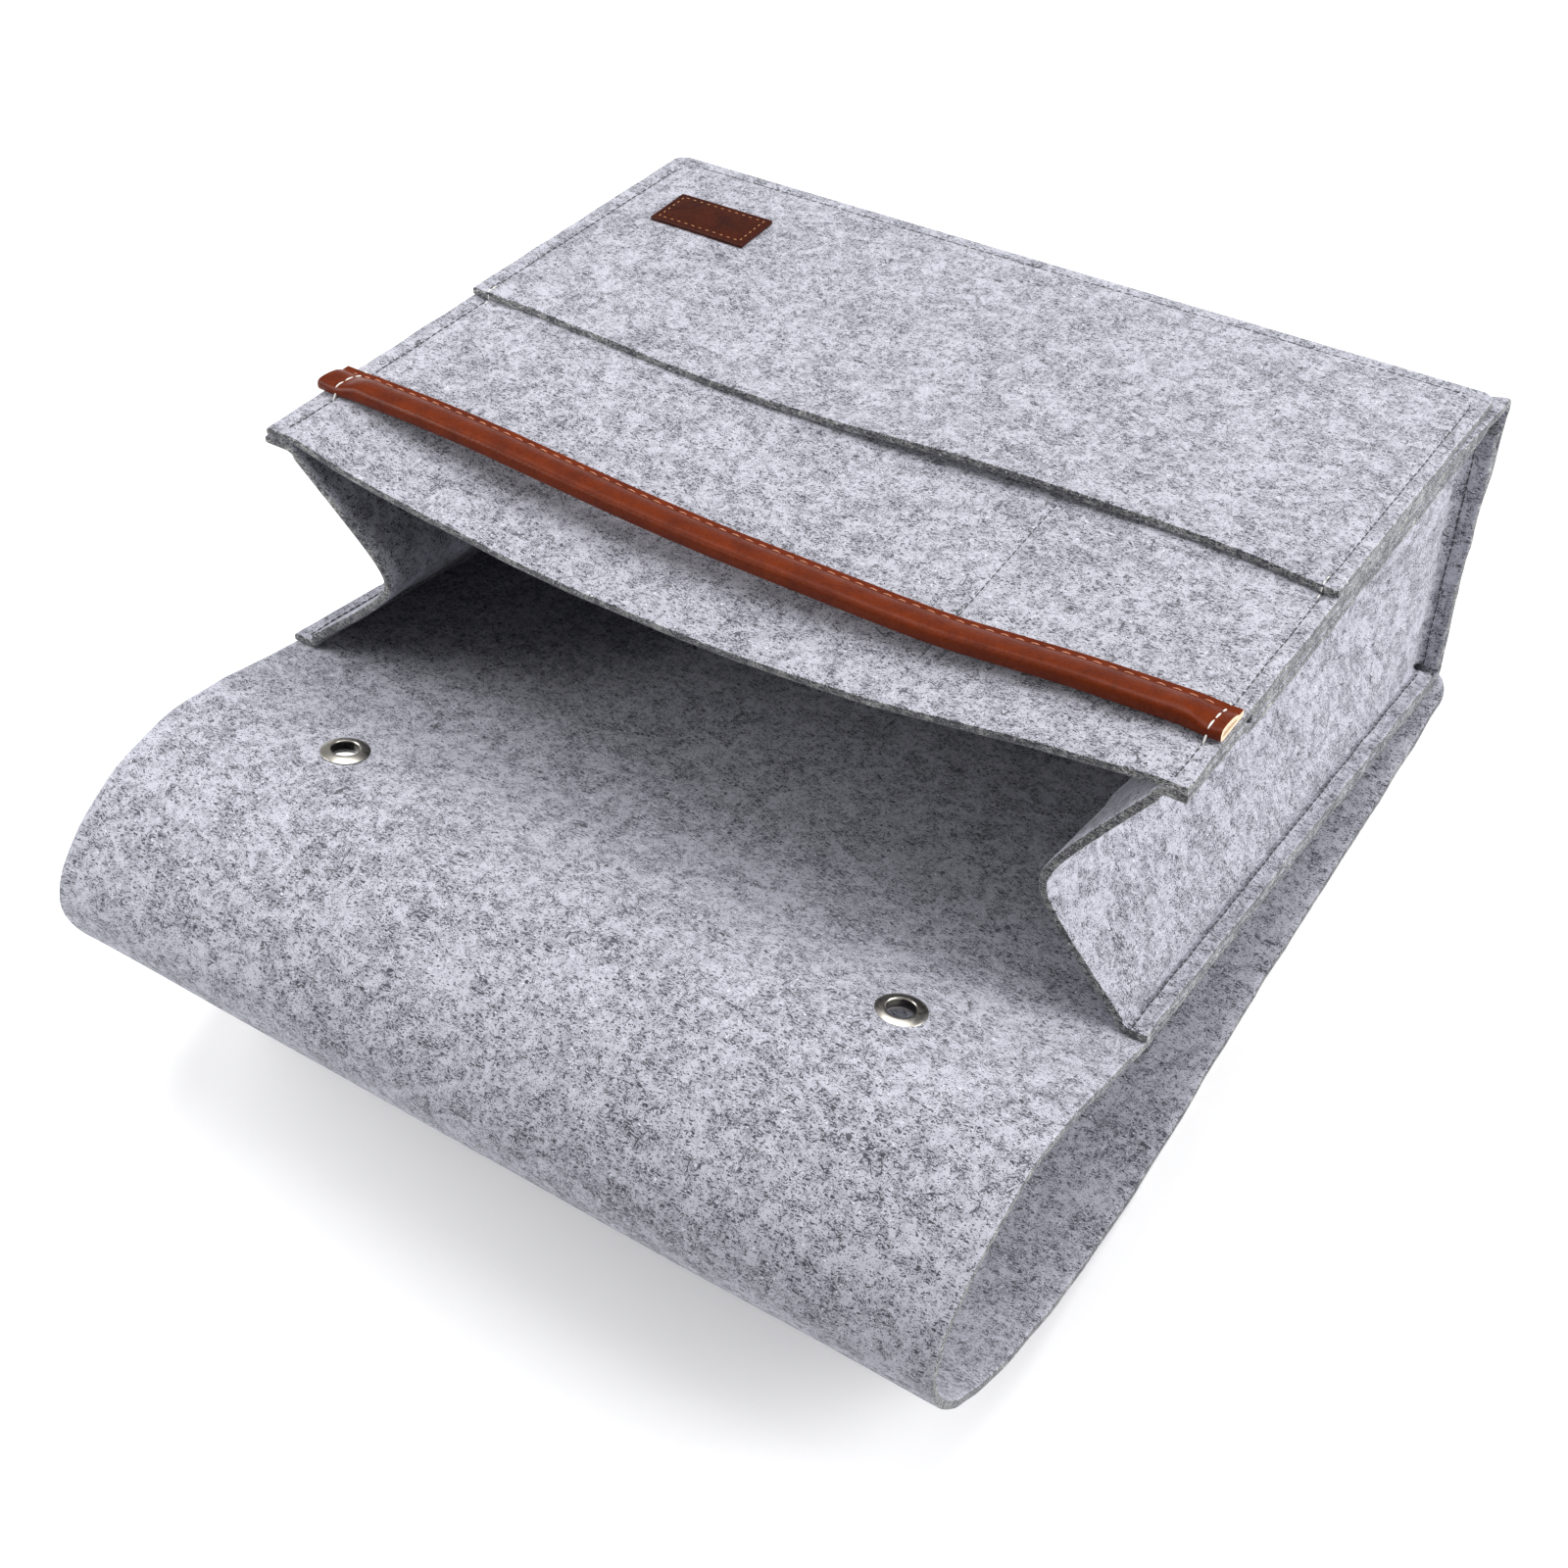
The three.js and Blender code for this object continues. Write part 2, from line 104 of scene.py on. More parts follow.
def hump(offset, width):  # 1 in the middle, fading to both sides
    return exp(-((offset / width) ** 2))


def mixed(low, high, share):
    return low + (high - low) * share


def unevenness(x, y, seed, size, depth, shift=0):  # slow hand-made waviness
    return depth * noise.noise(Vector((x / size, y / size, seed + shift)))


lean = pouch["backRise"] - pouch["frontTilt"]
frontHeading = 90 - pouch["frontTilt"]
bottomHeading = pouch["bottomSlant"] - pouch["backRise"]
backHeading = -90 - pouch["backRise"]
frontOut, frontUp = heading(frontHeading), heading(frontHeading + 90)
bottomOut, bottomUp = heading(bottomHeading), heading(bottomHeading + 90)
backIn, backUp = heading(backHeading + 180), heading(backHeading + 270)
frontSetback = fold / tan(radians(90 + pouch["bottomSlant"] - lean) / 2)
backSetback = fold / tan(radians(90 - pouch["bottomSlant"]) / 2)
backCorner = frontHinge - bottomUp * (pouch["depth"] - frontSetback) + bottomOut * fold
backFold = backCorner + backUp * backSetback + backIn * fold


def lineAt(line, x):  # smooth curve through (x, value) pairs in millimetres
    x /= mm
    if x <= line[0][0] or x >= line[-1][0]:
        return (line[0] if x <= line[0][0] else line[-1])[1] * mm
    i = max(k for k in range(len(line)) if line[k][0] <= x)
    before, first = line[max(i - 1, 0)], line[i]
    last, after = line[i + 1], line[min(i + 2, len(line) - 1)]
    width, rise = last[0] - first[0], last[1] - first[1]
    leave = (last[1] - before[1]) / (last[0] - before[0]) * width
    reach = (after[1] - first[1]) / (after[0] - first[0]) * width
    t = (x - first[0]) / width
    curve = (3 * rise - 2 * leave - reach) * t**2 + (leave + reach - 2 * rise) * t**3
    return (first[1] + leave * t + curve) * mm


def pocketSag(x, up):
    return lineAt(pouch["lowLine"], x) * ramp(up, 0, pouch["lowHeight"])


def frontSag(x, up):  # the front sinks between the side seams, and away from the pocket's mouth
    low = pouch["lowHeight"]
    away = pouch["gape"] * hump(x - pouch["gapeMiddle"], pouch["gapeWidth"])
    away *= ramp(abs(x), seamLine, seamLine - pouch["gapeEnds"])
    if up < low:
        return pocketSag(x, up) + away * ramp(up, 0, low) ** 3
    mouthSag = lineAt(pouch["mouthLine"], x)
    return mixed(pocketSag(x, low) + away, mouthSag, (up - low) / (height - low))


def backTwist(x, up):  # the back and the neck lie higher and wider on the left
    share = x / halfWidth
    lift = pouch["leftLift"] * share * (share - 1) / 2 - pouch["rightDrop"] * share * (share + 1) / 2
    spread = -pouch["leftSpread"] * (1 - share) / 2
    return Vector((spread, 0, lift)) * ramp(up, 0, height)


def onFront(x, up, lift):  # lift is measured from the front panel's top face
    point = frontHinge + frontUp * (up - frontSetback) + frontOut * (fold + lift)
    point.x = x
    return point


def onBack(x, up, lift):  # lift is measured from the back panel's outer face
    point = backCorner + backUp * up + backIn * lift
    point.x = x
    return point + backTwist(x, up)


def valleyAt(offset):  # how deep a seam draws in the felt beside its stitches
    return pouch["valley"] * hump(offset, pouch["valleyWidth"])


def seamDip(x):
    return valleyAt(abs(x) - stitchLine)


def rimFade(fromRim):  # seams run out just before a cut edge
    return ramp(fromRim, *pouch["valleyEnd"])


def borderShare(x):  # 0 inside the side seams, 1 at the cut edges
    return ramp(abs(x), seamLine, halfWidth)


def roughEdge(x, along, leftSeed, rightSeed, size, depth):  # edges cut by hand
    return unevenness(along, 0, rightSeed if x > 0 else leftSeed, size, depth) * borderShare(x)


sewnRows = lengths(offsets=(0, 0.4, 0.9, 1.8), fromEnds=0.3, apart=0.9)


def spaced(start, end, step, lines=()):  # even spacing, closer beside the sewn lines
    count = max(1, round((end - start) / step))
    places = [mixed(start, end, i / count) for i in range(count + 1)]
    near = [line + side * offset for line in lines for offset in sewnRows["offsets"] for side in (1, -1)]
    low, high = start + sewnRows["fromEnds"], end - sewnRows["fromEnds"]
    near = sorted({round(place, 6) for place in near if low < place < high})
    apart = sewnRows["apart"]
    clear = [p for p in places if p in (start, end) or all(abs(p - n) > apart for n in near)]
    return sorted({start, end, *clear, *near})


def deselectAll():
    bpy.ops.object.select_all(action="DESELECT")


def activate(piece):
    deselectAll()
    piece.select_set(True)
    bpy.context.view_layer.objects.active = piece


def setMode(mode):
    bpy.ops.object.mode_set(mode=mode)


def selectMesh(action):
    bpy.ops.mesh.select_all(action=action)


def applyModifier(piece, kind, **settings):
    activate(piece)
    modifier = piece.modifiers.new(kind.lower(), kind)
    for key, value in settings.items():
        setattr(modifier, key, value)
    bpy.ops.object.modifier_apply(modifier=modifier.name)


def gridSheet(name, columns, rows, place):  # a flat grid, then each point laid where the sheet lies
    deselectAll()
    across, along = len(columns) - 1, len(rows) - 1
    bpy.ops.mesh.primitive_grid_add(x_subdivisions=across, y_subdivisions=along, size=1)
    sheet = bpy.context.object
    sheet.name = name
    for vertex in sheet.data.vertices:
        column = round((vertex.co.x + 0.5) * across)
        row = round((vertex.co.y + 0.5) * along)
        vertex.co = place(columns[column], rows[row])
    return sheet


def smoothShade(piece, degrees=40):
    activate(piece)
    bpy.ops.object.shade_smooth_by_angle(angle=radians(degrees))


def roundEdges(piece, width, segments=2, keep=None, rims=False, sharp=50):  # bevels the sharp edges
    activate(piece)
    setMode("EDIT")
    bpy.ops.mesh.select_mode(type="EDGE")
    selectMesh("DESELECT")
    bpy.ops.mesh.edges_select_sharp(sharpness=radians(sharp))
    setMode("OBJECT")
    points, slots = piece.data.vertices, {}
    for polygon in piece.data.polygons:
        for key in polygon.edge_keys:
            slots.setdefault(key, set()).add(polygon.material_index)
    for edge in piece.data.edges:
        if keep and edge.select and all(keep(points[i].co) for i in edge.vertices):
            edge.select = False
        if rims and len(slots[edge.key]) < 2:  # only where a face meets a cut edge
            edge.select = False
    setMode("EDIT")
    bpy.ops.mesh.bevel(offset=width, segments=segments, affect="EDGES", profile=0.5)
    setMode("OBJECT")


def makeFelt(sheet, keep=None):
    sheet.data.materials.append(feltFace)
    sheet.data.materials.append(feltEdge)
    applyModifier(sheet, "SOLIDIFY", thickness=felt, offset=0, use_even_offset=True, material_offset_rim=1)
    roundEdges(sheet, pouch["edgeRound"], keep=keep, rims=True)
    smoothShade(sheet)
    print("felt:", sheet.name, len(sheet.data.polygons), "faces")
    return sheet


# materials: short ways to add nodes, then one group for each effect

def feed(tree, socket, value):  # a link from another node's output, or a plain value
    if isinstance(value, bpy.types.NodeSocket):
        tree.links.new(value, socket)
    else:
        socket.default_value = value


def addNode(tree, kind, values, **settings):
    node = tree.nodes.new(kind)
    for key, value in settings.items():
        setattr(node, key, value)
    for key, value in values.items():
        feed(tree, node.inputs[key], value)
    return node


def objectCoords(tree):  # one coordinate node for each tree
    found = [node for node in tree.nodes if node.bl_idname == "ShaderNodeTexCoord"]
    return (found or [tree.nodes.new("ShaderNodeTexCoord")])[0].outputs["Object"]


def noiseNode(tree, scale, detail=2.0, roughness=0.5, distortion=0.0):
    values = {"Vector": objectCoords(tree), "Scale": scale, "Detail": detail, "Roughness": roughness}
    return addNode(tree, "ShaderNodeTexNoise", {**values, "Distortion": distortion}).outputs


def mathNode(tree, operation, first, second=None):
    values = {0: first} if second is None else {0: first, 1: second}
    return addNode(tree, "ShaderNodeMath", values, operation=operation).outputs[0]


def weightedNode(tree, *terms):  # the sum of (value, weight) pairs
    total = None
    for value, weight in terms:
        term = value if weight == 1 else mathNode(tree, "MULTIPLY", value, weight)
        total = term if total is None else mathNode(tree, "ADD", total, term)
    return total


def rangeNode(tree, value, low, high, toLow=0.0, toHigh=1.0, kind="LINEAR"):
    values = {"Value": value, "From Min": low, "From Max": high, "To Min": toLow, "To Max": toHigh}
    return addNode(tree, "ShaderNodeMapRange", values, interpolation_type=kind).outputs[0]


def blendNode(tree, share, first, second):
    return addNode(tree, "ShaderNodeMix", {0: share, 6: first, 7: second}, data_type="RGBA").outputs[2]


def newGroup(name, inputs, outputs):  # colours are given as tuples
    group = bpy.data.node_groups.new(name, "ShaderNodeTree")
    for label, value in inputs.items():
        kind = "NodeSocketColor" if isinstance(value, tuple) else "NodeSocketFloat"
        group.interface.new_socket(label, in_out="INPUT", socket_type=kind).default_value = value
    for label in outputs:
        kind = "NodeSocketColor" if label == "Color" else "NodeSocketFloat"
        group.interface.new_socket(label, in_out="OUTPUT", socket_type=kind)
    given, out = group.nodes.new("NodeGroupInput"), group.nodes.new("NodeGroupOutput")
    return group, given.outputs, out.inputs


def newMaterial(name, plain, group=None, values=None, bump=None):  # plain values by socket name
    material = bpy.data.materials.new(name)
    material.use_nodes = True
    tree = material.node_tree
    shader = tree.nodes["Principled BSDF"].inputs
    for key, value in plain.items():
        shader[key].default_value = value
    if group:
        effect = addNode(tree, "ShaderNodeGroup", values, node_tree=group).outputs
        for label, socket in (("Color", "Base Color"), ("Roughness", "Roughness")):
            if label in effect:
                feed(tree, shader[socket], effect[label])
        if bump:  # strength and depth
            values = {"Height": effect["Height"], "Strength": bump[0], "Distance": bump[1]}
            feed(tree, shader["Normal"], addNode(tree, "ShaderNodeBump", values).outputs["Normal"])
    return material


feltLook = {  # colours are linear, scales are in waves per metre
    "pale": (0.52, 0.52, 0.59, 1),
    "shade": (0.21, 0.21, 0.245, 1),
    "fleck": (0.03, 0.03, 0.038, 1),
    "white": (0.84, 0.85, 0.92, 1),
    "edgePale": (0.6, 0.6, 0.57, 1),
    "edgeShade": (0.13, 0.13, 0.125, 1),
    "edgeAmount": 0.9,
    "clouds": (50,),  # noises: scale, detail, roughness and distortion
    "patches": (175, 2, 0.55, 0.8),
    "grain": (1300, 2, 0.6, 1.0),
    "warp": (420, 1.0),
    "warpReach": 1.8 * mm,
    "cloudBand": (0.36, 0.64),  # bands: where an effect starts and where it is full
    "patchBand": (0.33, 0.67),
    "tuftBand": (0.54, 0.6),
    "curlBand": (0.4, 0.6),
    "shadeBand": (0.4, 0.75),
    "whiteBand": (0.62, 0.72),
    "crowdShares": (0.25, 0.75),  # of clouds and patches
    "crowdInTufts": 0.16,
    "crowdInHairs": 0.19,
    "crowdInWhite": 0.03,
    "shadeShares": (0.3, 0.3, 0.25),  # of the crowd, the grain and the tufts
    "heightShares": (0.7, 0.15, -0.15),  # of the grain, the patches and the dark fibres
    "hairs": [(3000, (0.5, 1, 1), -0.235), (1700, (0.28, 1, 1), -0.335)],  # scale, stretch, thinnest
    "hairTone": 0.6,
    "hairSoftness": 0.2,
    "curlNoise": (1, 0.5, 1.4),
    "tuftCurls": (300, 0.006, 0.018),  # scale, thin, thick
    "patchCurls": (130, 0.004, 0.011),
    "curlMost": 0.9,
    "darkMost": 0.95,
    "whiteMost": 0.75,
    "bump": 0.6,
    "faceBump": 0.4 * mm,
    "edgeBump": 0.8 * mm,
    "cloth": {
        "Roughness": 0.95, "Specular IOR Level": 0.15,
        "Sheen Weight": 0.25, "Sheen Roughness": 0.6, "Sheen Tint": (0.9, 0.92, 1, 1),
    },
}


def feltGroup():  # pressed wool: clouds of dark hairs and thin curls in pale grey
    colours = {"Pale": feltLook["pale"], "Shade": feltLook["shade"]}
    colours |= {"Fleck": feltLook["fleck"], "White": feltLook["white"]}
    group, given, out = newGroup("feltFibres", {**colours, "Amount": 0.0}, ("Color", "Height"))
    tools = (noiseNode, mathNode, weightedNode, blendNode)
    noiseAt, math, weighted, blend = (partial(tool, group) for tool in tools)
    band = partial(rangeNode, group, kind="SMOOTHSTEP")
    clouds = band(noiseAt(*feltLook["clouds"])["Fac"], *feltLook["cloudBand"])
    patches = band(noiseAt(*feltLook["patches"])["Fac"], *feltLook["patchBand"])
    crowd = weighted(*zip((clouds, patches), feltLook["crowdShares"]), (given["Amount"], 1))
    grain = noiseAt(*feltLook["grain"])["Fac"]
    warp = noiseAt(*feltLook["warp"])
    bending = {0: warp["Color"], 1: (feltLook["warpReach"],) * 3, 2: objectCoords(group)}
    bent = addNode(group, "ShaderNodeVectorMath", bending, operation="MULTIPLY_ADD").outputs[0]
    tufts = weighted((warp["Fac"], 1), (crowd, feltLook["crowdInTufts"]))

    def curls(scale, thin, thick, where):  # lines where a noise crosses its middle
        line = math("ABSOLUTE", math("SUBTRACT", noiseAt(scale, *feltLook["curlNoise"])["Fac"], 0.5))
        return math("MULTIPLY", math("SUBTRACT", 1.0, band(line, thin, thick)), where)

    def hairs(scale, stretch, thinnest):  # one in each cell, lying mostly across
        place = addNode(group, "ShaderNodeVectorMath", {0: bent, 1: stretch}, operation="MULTIPLY").outputs[0]
        cells = addNode(group, "ShaderNodeTexVoronoi", {"Vector": place, "Scale": scale}).outputs
        tone = addNode(group, "ShaderNodeSeparateColor", {0: cells["Color"]}).outputs[0]
        thick = weighted((tone, feltLook["hairTone"]), (crowd, feltLook["crowdInHairs"]))
        fromHair = math("SUBTRACT", cells["Distance"], thick)
        return math("SUBTRACT", 1.0, band(fromHair, thinnest, thinnest + feltLook["hairSoftness"]))

    hair = math("MAXIMUM", *(hairs(*kind) for kind in feltLook["hairs"]))
    tuftCurls = curls(*feltLook["tuftCurls"], band(tufts, *feltLook["tuftBand"]))
    patchCurls = curls(*feltLook["patchCurls"], band(patches, *feltLook["curlBand"]))
    curl = math("MAXIMUM", tuftCurls, patchCurls)
    dark = math("MAXIMUM", hair, math("MULTIPLY", curl, feltLook["curlMost"]))
    white = weighted((grain, 1), (crowd, feltLook["crowdInWhite"]))
    white = math("MULTIPLY", band(white, *feltLook["whiteBand"]), feltLook["whiteMost"])
    shaded = crowd, grain, band(tufts, *feltLook["shadeBand"])
    base = blend(weighted(*zip(shaded, feltLook["shadeShares"])), given["Pale"], given["Shade"])
    lit = blend(white, base, given["White"])
    feed(group, out["Color"], blend(math("MULTIPLY", dark, feltLook["darkMost"]), lit, given["Fleck"]))
    feed(group, out["Height"], weighted(*zip((grain, patches, dark), feltLook["heightShares"])))
    return group


feltFibres = feltGroup()


def feltMaterial(name, pale, shade, amount, bumpDepth):
    values = {"Pale": pale, "Shade": shade, "Amount": amount}
    return newMaterial(name, feltLook["cloth"], feltFibres, values, (feltLook["bump"], bumpDepth))


feltFace = feltMaterial("feltFace", feltLook["pale"], feltLook["shade"], 0.0, feltLook["faceBump"])
edgeColours = feltLook["edgePale"], feltLook["edgeShade"]
feltEdge = feltMaterial("feltEdge", *edgeColours, feltLook["edgeAmount"], feltLook["edgeBump"])

leatherLook = {
    "strapPale": (0.152, 0.023, 0.0035, 1),
    "strapDark": (0.084, 0.011, 0.0018, 1),
    "strapGrain": 1300.0,
    "strapBump": 0.12 * mm,
    "patchPale": (0.058, 0.01, 0.003, 1),
    "patchDark": (0.026, 0.0045, 0.002, 1),
    "patchGrain": 1000.0,
    "patchBump": 0.18 * mm,
    "bump": 0.5,
    "gloss": {"Specular IOR Level": 0.14},
    "pebbles": {"Smoothness": 0.6, "Randomness": 1.0},
    "clouds": (120.0, 3.0, 0.6),
    "fine": (1600.0, 2.0, 0.6),
    "pebblesInDye": 0.35,
    "dyeBand": (0.42, 0.9),
    "fineHeight": 0.35,
    "roughness": (0.3, 0.7, 0.28, 0.42),  # clouds from and to, roughness from and to
}


def leatherGroup():  # pebbled grain with pores and cloudy dye
    inputs = {label: leatherLook["strap" + label] for label in ("Pale", "Dark", "Grain")}
    group, given, out = newGroup("leatherGrain", inputs, ("Color", "Height", "Roughness"))
    values = {"Vector": objectCoords(group), "Scale": given["Grain"], **leatherLook["pebbles"]}
    pebbles = addNode(group, "ShaderNodeTexVoronoi", values, feature="SMOOTH_F1").outputs["Distance"]
    clouds = noiseNode(group, *leatherLook["clouds"])["Fac"]
    fine = noiseNode(group, *leatherLook["fine"])["Fac"]
    dye = weightedNode(group, (pebbles, leatherLook["pebblesInDye"]), (clouds, 1))
    dye = rangeNode(group, dye, *leatherLook["dyeBand"])
    pits = mathNode(group, "SUBTRACT", 1.0, pebbles)
    feed(group, out["Color"], blendNode(group, dye, given["Pale"], given["Dark"]))
    feed(group, out["Height"], weightedNode(group, (fine, leatherLook["fineHeight"]), (pits, 1)))
    feed(group, out["Roughness"], rangeNode(group, clouds, *leatherLook["roughness"]))
    return group


leatherGrain = leatherGroup()


def leatherMaterial(kind):
    values = {label: leatherLook[kind + label] for label in ("Pale", "Dark", "Grain")}
    bump = leatherLook["bump"], leatherLook[kind + "Bump"]
    return newMaterial(kind + "Leather", leatherLook["gloss"], leatherGrain, values, bump)


strapLeather = leatherMaterial("strap")
patchLeather = leatherMaterial("patch")

threadLook = {
    "plies": (2600.0, 2.0, 0.6),
    "crowns": (0.32, 0.62),
    "plain": {"Roughness": 0.75},
    "bump": (0.5, 0.1 * mm),
    "colours": {  # painted highlight on each ply's crown and painted shade in the hollows, linear
        # the grey seam thread is darkened well below the felt's grey: painted shade of the sunk seams
        "seamThreadPaintedShade": ((0.075, 0.075, 0.082, 1), (0.02, 0.02, 0.024, 1)),
        "whiteThread": ((0.85, 0.84, 0.8, 1), (0.5, 0.48, 0.44, 1)),
        "tanThread": ((0.62, 0.27, 0.16, 1), (0.36, 0.13, 0.07, 1)),
        "goldThread": ((0.45, 0.22, 0.09, 1), (0.24, 0.1, 0.04, 1)),
        "creamCore": ((0.66, 0.5, 0.32, 1), (0.4, 0.27, 0.15, 1)),
        "fleshSide": ((0.74, 0.6, 0.44, 1), (0.48, 0.34, 0.21, 1)),
    },
}


def threadGroup():  # twisted plies, with painted highlight on each crown and painted shade in the hollows
    pale, dark = threadLook["colours"]["seamThreadPaintedShade"]
    group, given, out = newGroup("threadPliesPaintedShade", {"Pale": pale, "Dark": dark}, ("Color", "Height"))
    plies = noiseNode(group, *threadLook["plies"])["Fac"]
    # painted light: each ply's crown lighter, the hollows between plies darker
    crowns = rangeNode(group, plies, *threadLook["crowns"])
    feed(group, out["Color"], blendNode(group, crowns, given["Dark"], given["Pale"]))
    feed(group, out["Height"], plies)
    return group


threadPliesPaintedShade = threadGroup()
thread = {}
for name, (pale, dark) in threadLook["colours"].items():
    colours = {"Pale": pale, "Dark": dark}
    thread[name] = newMaterial(name, threadLook["plain"], threadPliesPaintedShade, colours, threadLook["bump"])

nickelLook = {
    "wear": (700.0, 4.0, 0.65),
    "roughness": (0.3, 0.7, 0.24, 0.38),  # wear from and to, roughness from and to
    "plain": {"Metallic": 1.0},
    "colours": {  # bright and dull, linear
        "polishedNickel": ((0.64, 0.61, 0.55, 1), (0.5, 0.47, 0.42, 1)),
        # the near-black nickel of the bore is painted shade inside the hole
        "boreNickelPaintedShade": ((0.1, 0.095, 0.085, 1), (0.04, 0.038, 0.035, 1)),
    },
}


def nickelGroup():  # wear that dulls the plate here and there
    bright, dull = nickelLook["colours"]["polishedNickel"]
    group, given, out = newGroup("nickelWear", {"Bright": bright, "Dull": dull}, ("Color", "Roughness"))
    wear = noiseNode(group, *nickelLook["wear"])["Fac"]
    feed(group, out["Color"], blendNode(group, wear, given["Bright"], given["Dull"]))
    feed(group, out["Roughness"], rangeNode(group, wear, *nickelLook["roughness"]))
    return group


nickelWear = nickelGroup()
nickel = {}
for name, (bright, dull) in nickelLook["colours"].items():
    nickel[name] = newMaterial(name, nickelLook["plain"], nickelWear, {"Bright": bright, "Dull": dull})
print("materials ready")


# felt wrap: front, bottom and back in one sheet, up to just inside the mouth

wrap = {
    "arcSteps": 8,
    "edge": (5, 3, 14 * mm, 0.5 * mm),  # left and right seed, size and depth
    "wave": (1.5, 60 * mm, 0.5 * mm),  # seed, size and depth
    "lip": (8.2, 18 * mm, 0.4 * mm),
    **lengths(
        step=4, dividerInset=93, dividerFoot=130, backEnd=218,
        waveSides=20, waveFront=50, lipReach=4,
        cornerSpread=3, cornerWidth=40, cornerPast=8, ear=2.2,
        leftSpread=2.4, leftFade=(20, -30),  # past the front's foot
        jointReach=0.2, jointBelow=100,
    ),
}
middleFold = fold - felt / 2
frontRun = height - frontSetback
bottomRun = pouch["depth"] - frontSetback - backSetback
frontArc = middleFold * radians(frontHeading - bottomHeading)
backArc = middleFold * radians(bottomHeading - backHeading)
dividerLine = halfWidth - wrap["dividerInset"]


def wrapPlace(x, along):  # along runs from the front's mouth edge, round the bottom, up the back
    border = borderShare(x)
    edge = x + roughEdge(x, along, *wrap["edge"])
    if x > 0:
        edge += wrap["cornerSpread"] * hump(along - frontRun - wrap["cornerPast"], wrap["cornerWidth"]) * border
    else:
        edge -= wrap["leftSpread"] * ramp(along - frontRun, *wrap["leftFade"]) * border
    wave = unevenness(x, along, *wrap["wave"]) * ramp(abs(x), seamLine, seamLine - wrap["waveSides"])
    dip = seamDip(x)
    if along < frontRun:
        up = height - along
        if up > wrap["dividerFoot"]:
            dip += valleyAt(x - dividerLine)
        dip *= rimFade(along)
        lip = unevenness(x, 0, *wrap["lip"]) * ramp(along, wrap["lipReach"], 0)
        lift = wave * ramp(up, 0, wrap["waveFront"]) - felt / 2 - frontSag(x, up) - dip
        return onFront(edge, up + lip, lift)
    along -= frontRun
    if along < frontArc:
        out = heading(frontHeading - along / middleFold * 180 / pi)
        ear = wrap["ear"] * hump(along - frontArc / 2, frontArc / 2) * border if x > 0 else 0
        point = frontHinge + out * (middleFold - dip + ear)
    elif along < frontArc + bottomRun:
        down = along - frontArc
        swell = wave * ramp(down, 0, wrap["waveSides"]) * ramp(down, bottomRun, bottomRun - wrap["waveSides"])
        point = frontHinge - bottomUp * down + bottomOut * (middleFold - dip + swell)
    elif along < frontArc + bottomRun + backArc:
        out = heading(bottomHeading - (along - frontArc - bottomRun) / middleFold * 180 / pi)
        point = backFold + out * (middleFold - dip)
    else:
        up = backSetback + along - frontArc - bottomRun - backArc
        return onBack(edge, up, felt / 2 + dip)
    point.x = edge
    return point


bottomStart = frontRun + frontArc
bottomEnd = bottomStart + bottomRun
backStart = bottomEnd + backArc
wrapEnd = backStart + wrap["backEnd"] - backSetback
wrapRuns = [
    (0, frontRun, wrap["step"]),
    (frontRun, bottomStart, frontArc / wrap["arcSteps"]),
    (bottomStart, bottomEnd, wrap["step"]),
    (bottomEnd, backStart, backArc / wrap["arcSteps"]),
    (backStart, wrapEnd, wrap["step"]),
]
wrapRows = [row for run in wrapRuns for row in spaced(*run)[:-1]] + [wrapEnd]
sideColumns = spaced(-halfWidth, halfWidth, wrap["step"], (-stitchLine, stitchLine))
dividedColumns = spaced(-halfWidth, halfWidth, wrap["step"], (-stitchLine, stitchLine, dividerLine))
wrapSheet = gridSheet("wrap_felt", dividedColumns, wrapRows, wrapPlace)
wrapJoint = onBack(0, wrap["backEnd"], 0)


def atJoint(point):  # the line inside the mouth where the wrap meets the flap
    offset = point - backTwist(point.x, wrap["backEnd"]) - wrapJoint
    return abs(offset.dot(backUp)) < wrap["jointReach"] and point.z < wrap["jointBelow"]


makeFelt(wrapSheet, keep=atJoint)
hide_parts("front_panel", "bottom_panel", "back_panel")


# flap: neck, crown, bend and tail, from just inside the mouth

flap = {
    "measureSteps": 40, "edge": (15, 13, 14 * mm, 0.5 * mm), "wave": (4.4, 70 * mm, 0.7 * mm),
    **lengths(
        neckReach=76, neckRise=28, neckEase=28, noseReach=127, noseHeight=79, crownEase=26,
        noseEaseUp=18, noseEaseDown=38, landingInset=27, landingEase=95,
        tailCorner=13, tailDrift=4.5, step=3.6, cornerStep=2,
        waveIn=(0, 20), waveOut=(290, 260), seamOut=(4, 0), spreadOut=(270, 150),
        liftFade=(120, 85), noseSkew=(2.5, -2.2),  # on the left and on the right
        skewIn=(60, 120), skewOut=(270, 180),
    ),
}
mouthTop = onBack(0, height + gap, felt)
crown = mouthTop + Vector((0, -flap["neckReach"], flap["neckRise"]))
nose = Vector((0, mouthTop.y - flap["noseReach"], flap["noseHeight"]))
landing = Vector((0, mouthTop.y + flap["landingInset"], 0))
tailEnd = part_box("flap_tail")[1].y
yAxis, zAxis = Vector((0, 1, 0)), Vector((0, 0, 1))
flapCurves = [
    (mouthTop, mouthTop + backUp * flap["neckEase"], crown + yAxis * flap["neckEase"], crown),
    (crown, crown - yAxis * flap["crownEase"], nose + zAxis * flap["noseEaseUp"], nose),
    (nose, nose - zAxis * flap["noseEaseDown"], landing - yAxis * flap["landingEase"], landing),
]


